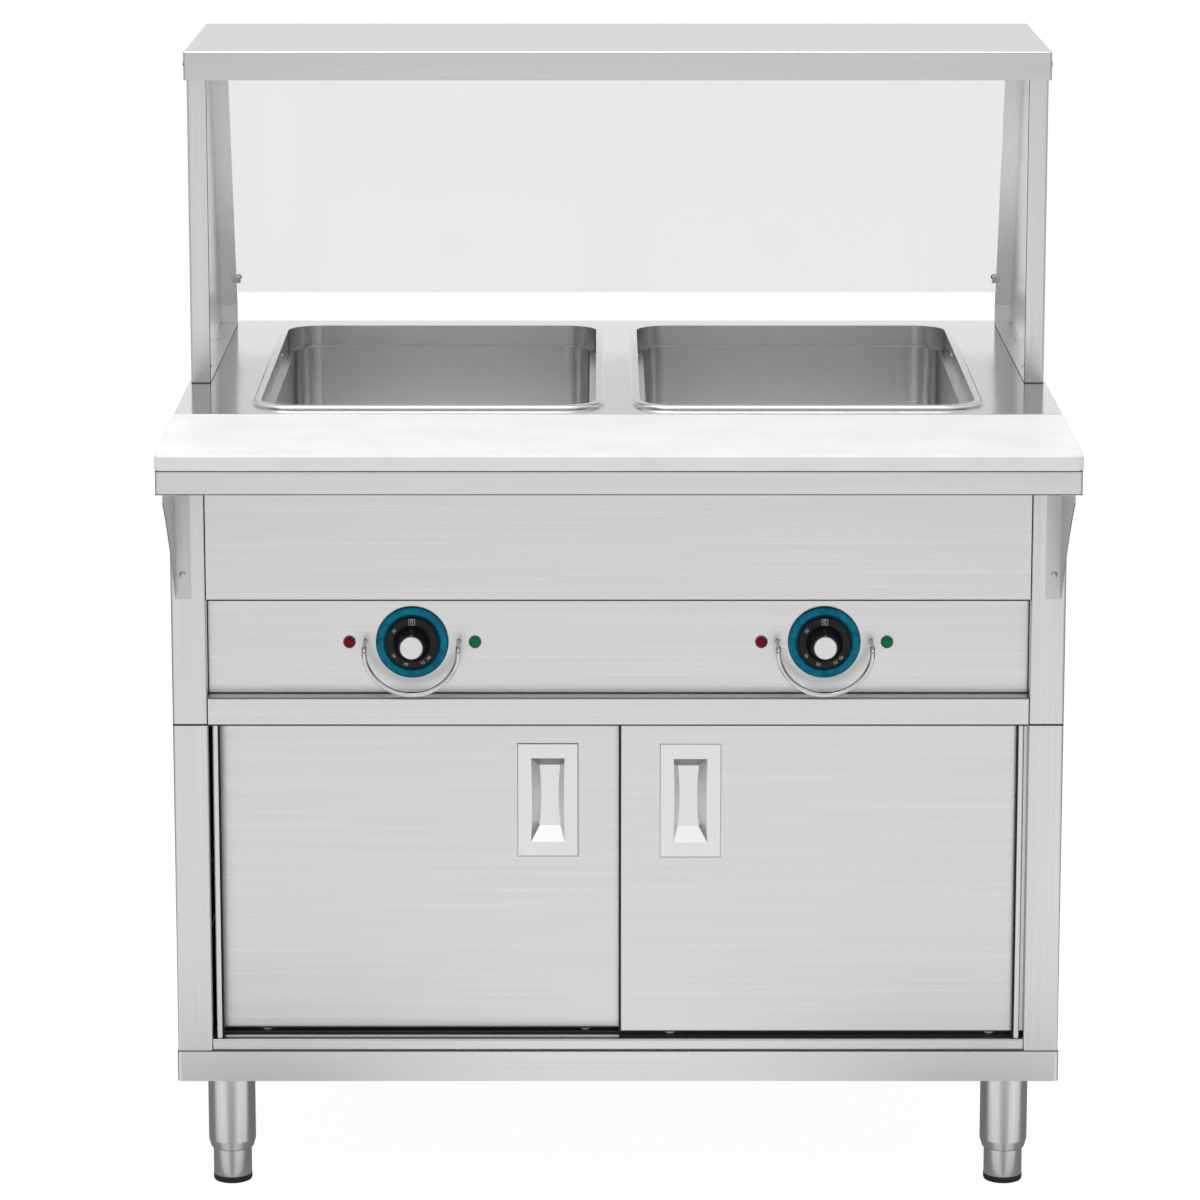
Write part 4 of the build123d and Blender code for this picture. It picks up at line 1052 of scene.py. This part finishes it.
    def floor_material(self, stage):
        """White to the camera and through glass, with a light shadow; dimmed in gloss."""
        material = bpy.data.materials.new("Pale floor")
        material.use_nodes = True
        tree = material.node_tree
        tree.nodes.clear()
        seen = self.ray_share(tree, "Is Camera Ray", "Is Transmission Ray")
        level = self.between(tree, seen, self.floor_gloss(tree, stage), self.WHITE)
        direct = self.ray_share(tree, "Is Camera Ray", "Is Transmission Ray", "Is Glossy Ray")
        plain = add_node(tree, "ShaderNodeBsdfDiffuse", {"Color": (0.86, 0.86, 0.86, 1)})
        white = add_node(tree, "ShaderNodeEmission", {"Color": (1, 1, 1, 1), "Strength": level})
        mixed = add_node(tree, "ShaderNodeMixShader", {
            0: self.product(tree, direct, stage.floor_share), 1: plain.outputs[0], 2: white.outputs[0],
        })
        out = add_node(tree, "ShaderNodeOutputMaterial")
        tree.links.new(mixed.outputs[0], out.inputs["Surface"])
        return material

    def world(self, scene, stage):
        """Even pale light, white to the camera.

        In gloss it is white with dark flags low at the sides and a low dark band in front.
        """
        world = bpy.data.worlds.new("Studio")
        scene.world = world
        world.use_nodes = True
        tree = world.node_tree
        tree.nodes.clear()
        x, y, z = self.axes(tree, "Generated")
        flag = self.product(
            tree, self.ramp(tree, x, self.FLAG_SIDE, 0.0, 1.0),
            self.ramp(tree, z, self.FLAG_TOP, 1.0, 0.0),
        )
        band = self.product(
            tree, self.ramp(tree, y, self.BAND_FRONT, 1.0, 0.0),
            self.ramp(tree, z, self.BAND_FOOT, 0.0, 1.0), self.ramp(tree, z, self.BAND_TOP, 1.0, 0.0),
        )
        gloss = self.product(
            tree, self.between(tree, flag, 1.0, stage.flag_level),
            self.between(tree, band, 1.0, stage.strip_level),
        )
        level = self.between(tree, self.ray_share(tree, "Is Glossy Ray"), stage.world_level, gloss)
        seen = self.ray_share(tree, "Is Camera Ray", "Is Transmission Ray")
        light = add_node(tree, "ShaderNodeBackground", {
            "Color": (1, 1, 1, 1), "Strength": self.between(tree, seen, level, 1.0),
        })
        out = add_node(tree, "ShaderNodeOutputWorld")
        tree.links.new(light.outputs[0], out.inputs["Surface"])


class SteamTablePanel(bpy.types.Panel):
    """Lists the steps in order"""
    bl_idname = "VIEW3D_PT_steam_table"
    bl_label = "Steam table"
    bl_space_type = "VIEW_3D"
    bl_region_type = "UI"
    bl_category = "Steam table"

    def draw(self, context):
        layout = self.layout
        for group in SETTINGS:
            settings = getattr(context.scene, group)
            for key in settings.bl_rna.properties.keys():
                if key not in ("rna_type", "name"):
                    layout.prop(settings, key)
        for step in STEPS:
            layout.operator(step.bl_idname)


STEPS = (
    SheetMetalFinish, BoardAndGlassFinish, ControlFinish, SmallPartFinish, DialNumbers,
    PaintedShadowStrips, ScrewHeads, LegBolts, Stage,
)
SETTINGS = {
    "table_steel": SteelSettings, "table_dial": DialSettings, "table_seals": ShadowStripSettings,
    "table_fasteners": FastenerSettings, "table_stage": StageSettings,
}


def register():
    for name, group in SETTINGS.items():
        bpy.utils.register_class(group)
        setattr(bpy.types.Scene, name, PointerProperty(type=group))
    for step in (*STEPS, SteamTablePanel):
        bpy.utils.register_class(step)


def unregister():
    for step in reversed((*STEPS, SteamTablePanel)):
        bpy.utils.unregister_class(step)
    for name, group in SETTINGS.items():
        delattr(bpy.types.Scene, name)
        bpy.utils.unregister_class(group)


def main():
    register()
    for step in STEPS:
        category, name = step.bl_idname.split(".")
        getattr(getattr(bpy.ops, category), name)()


if __name__ == "__main__":
    main()
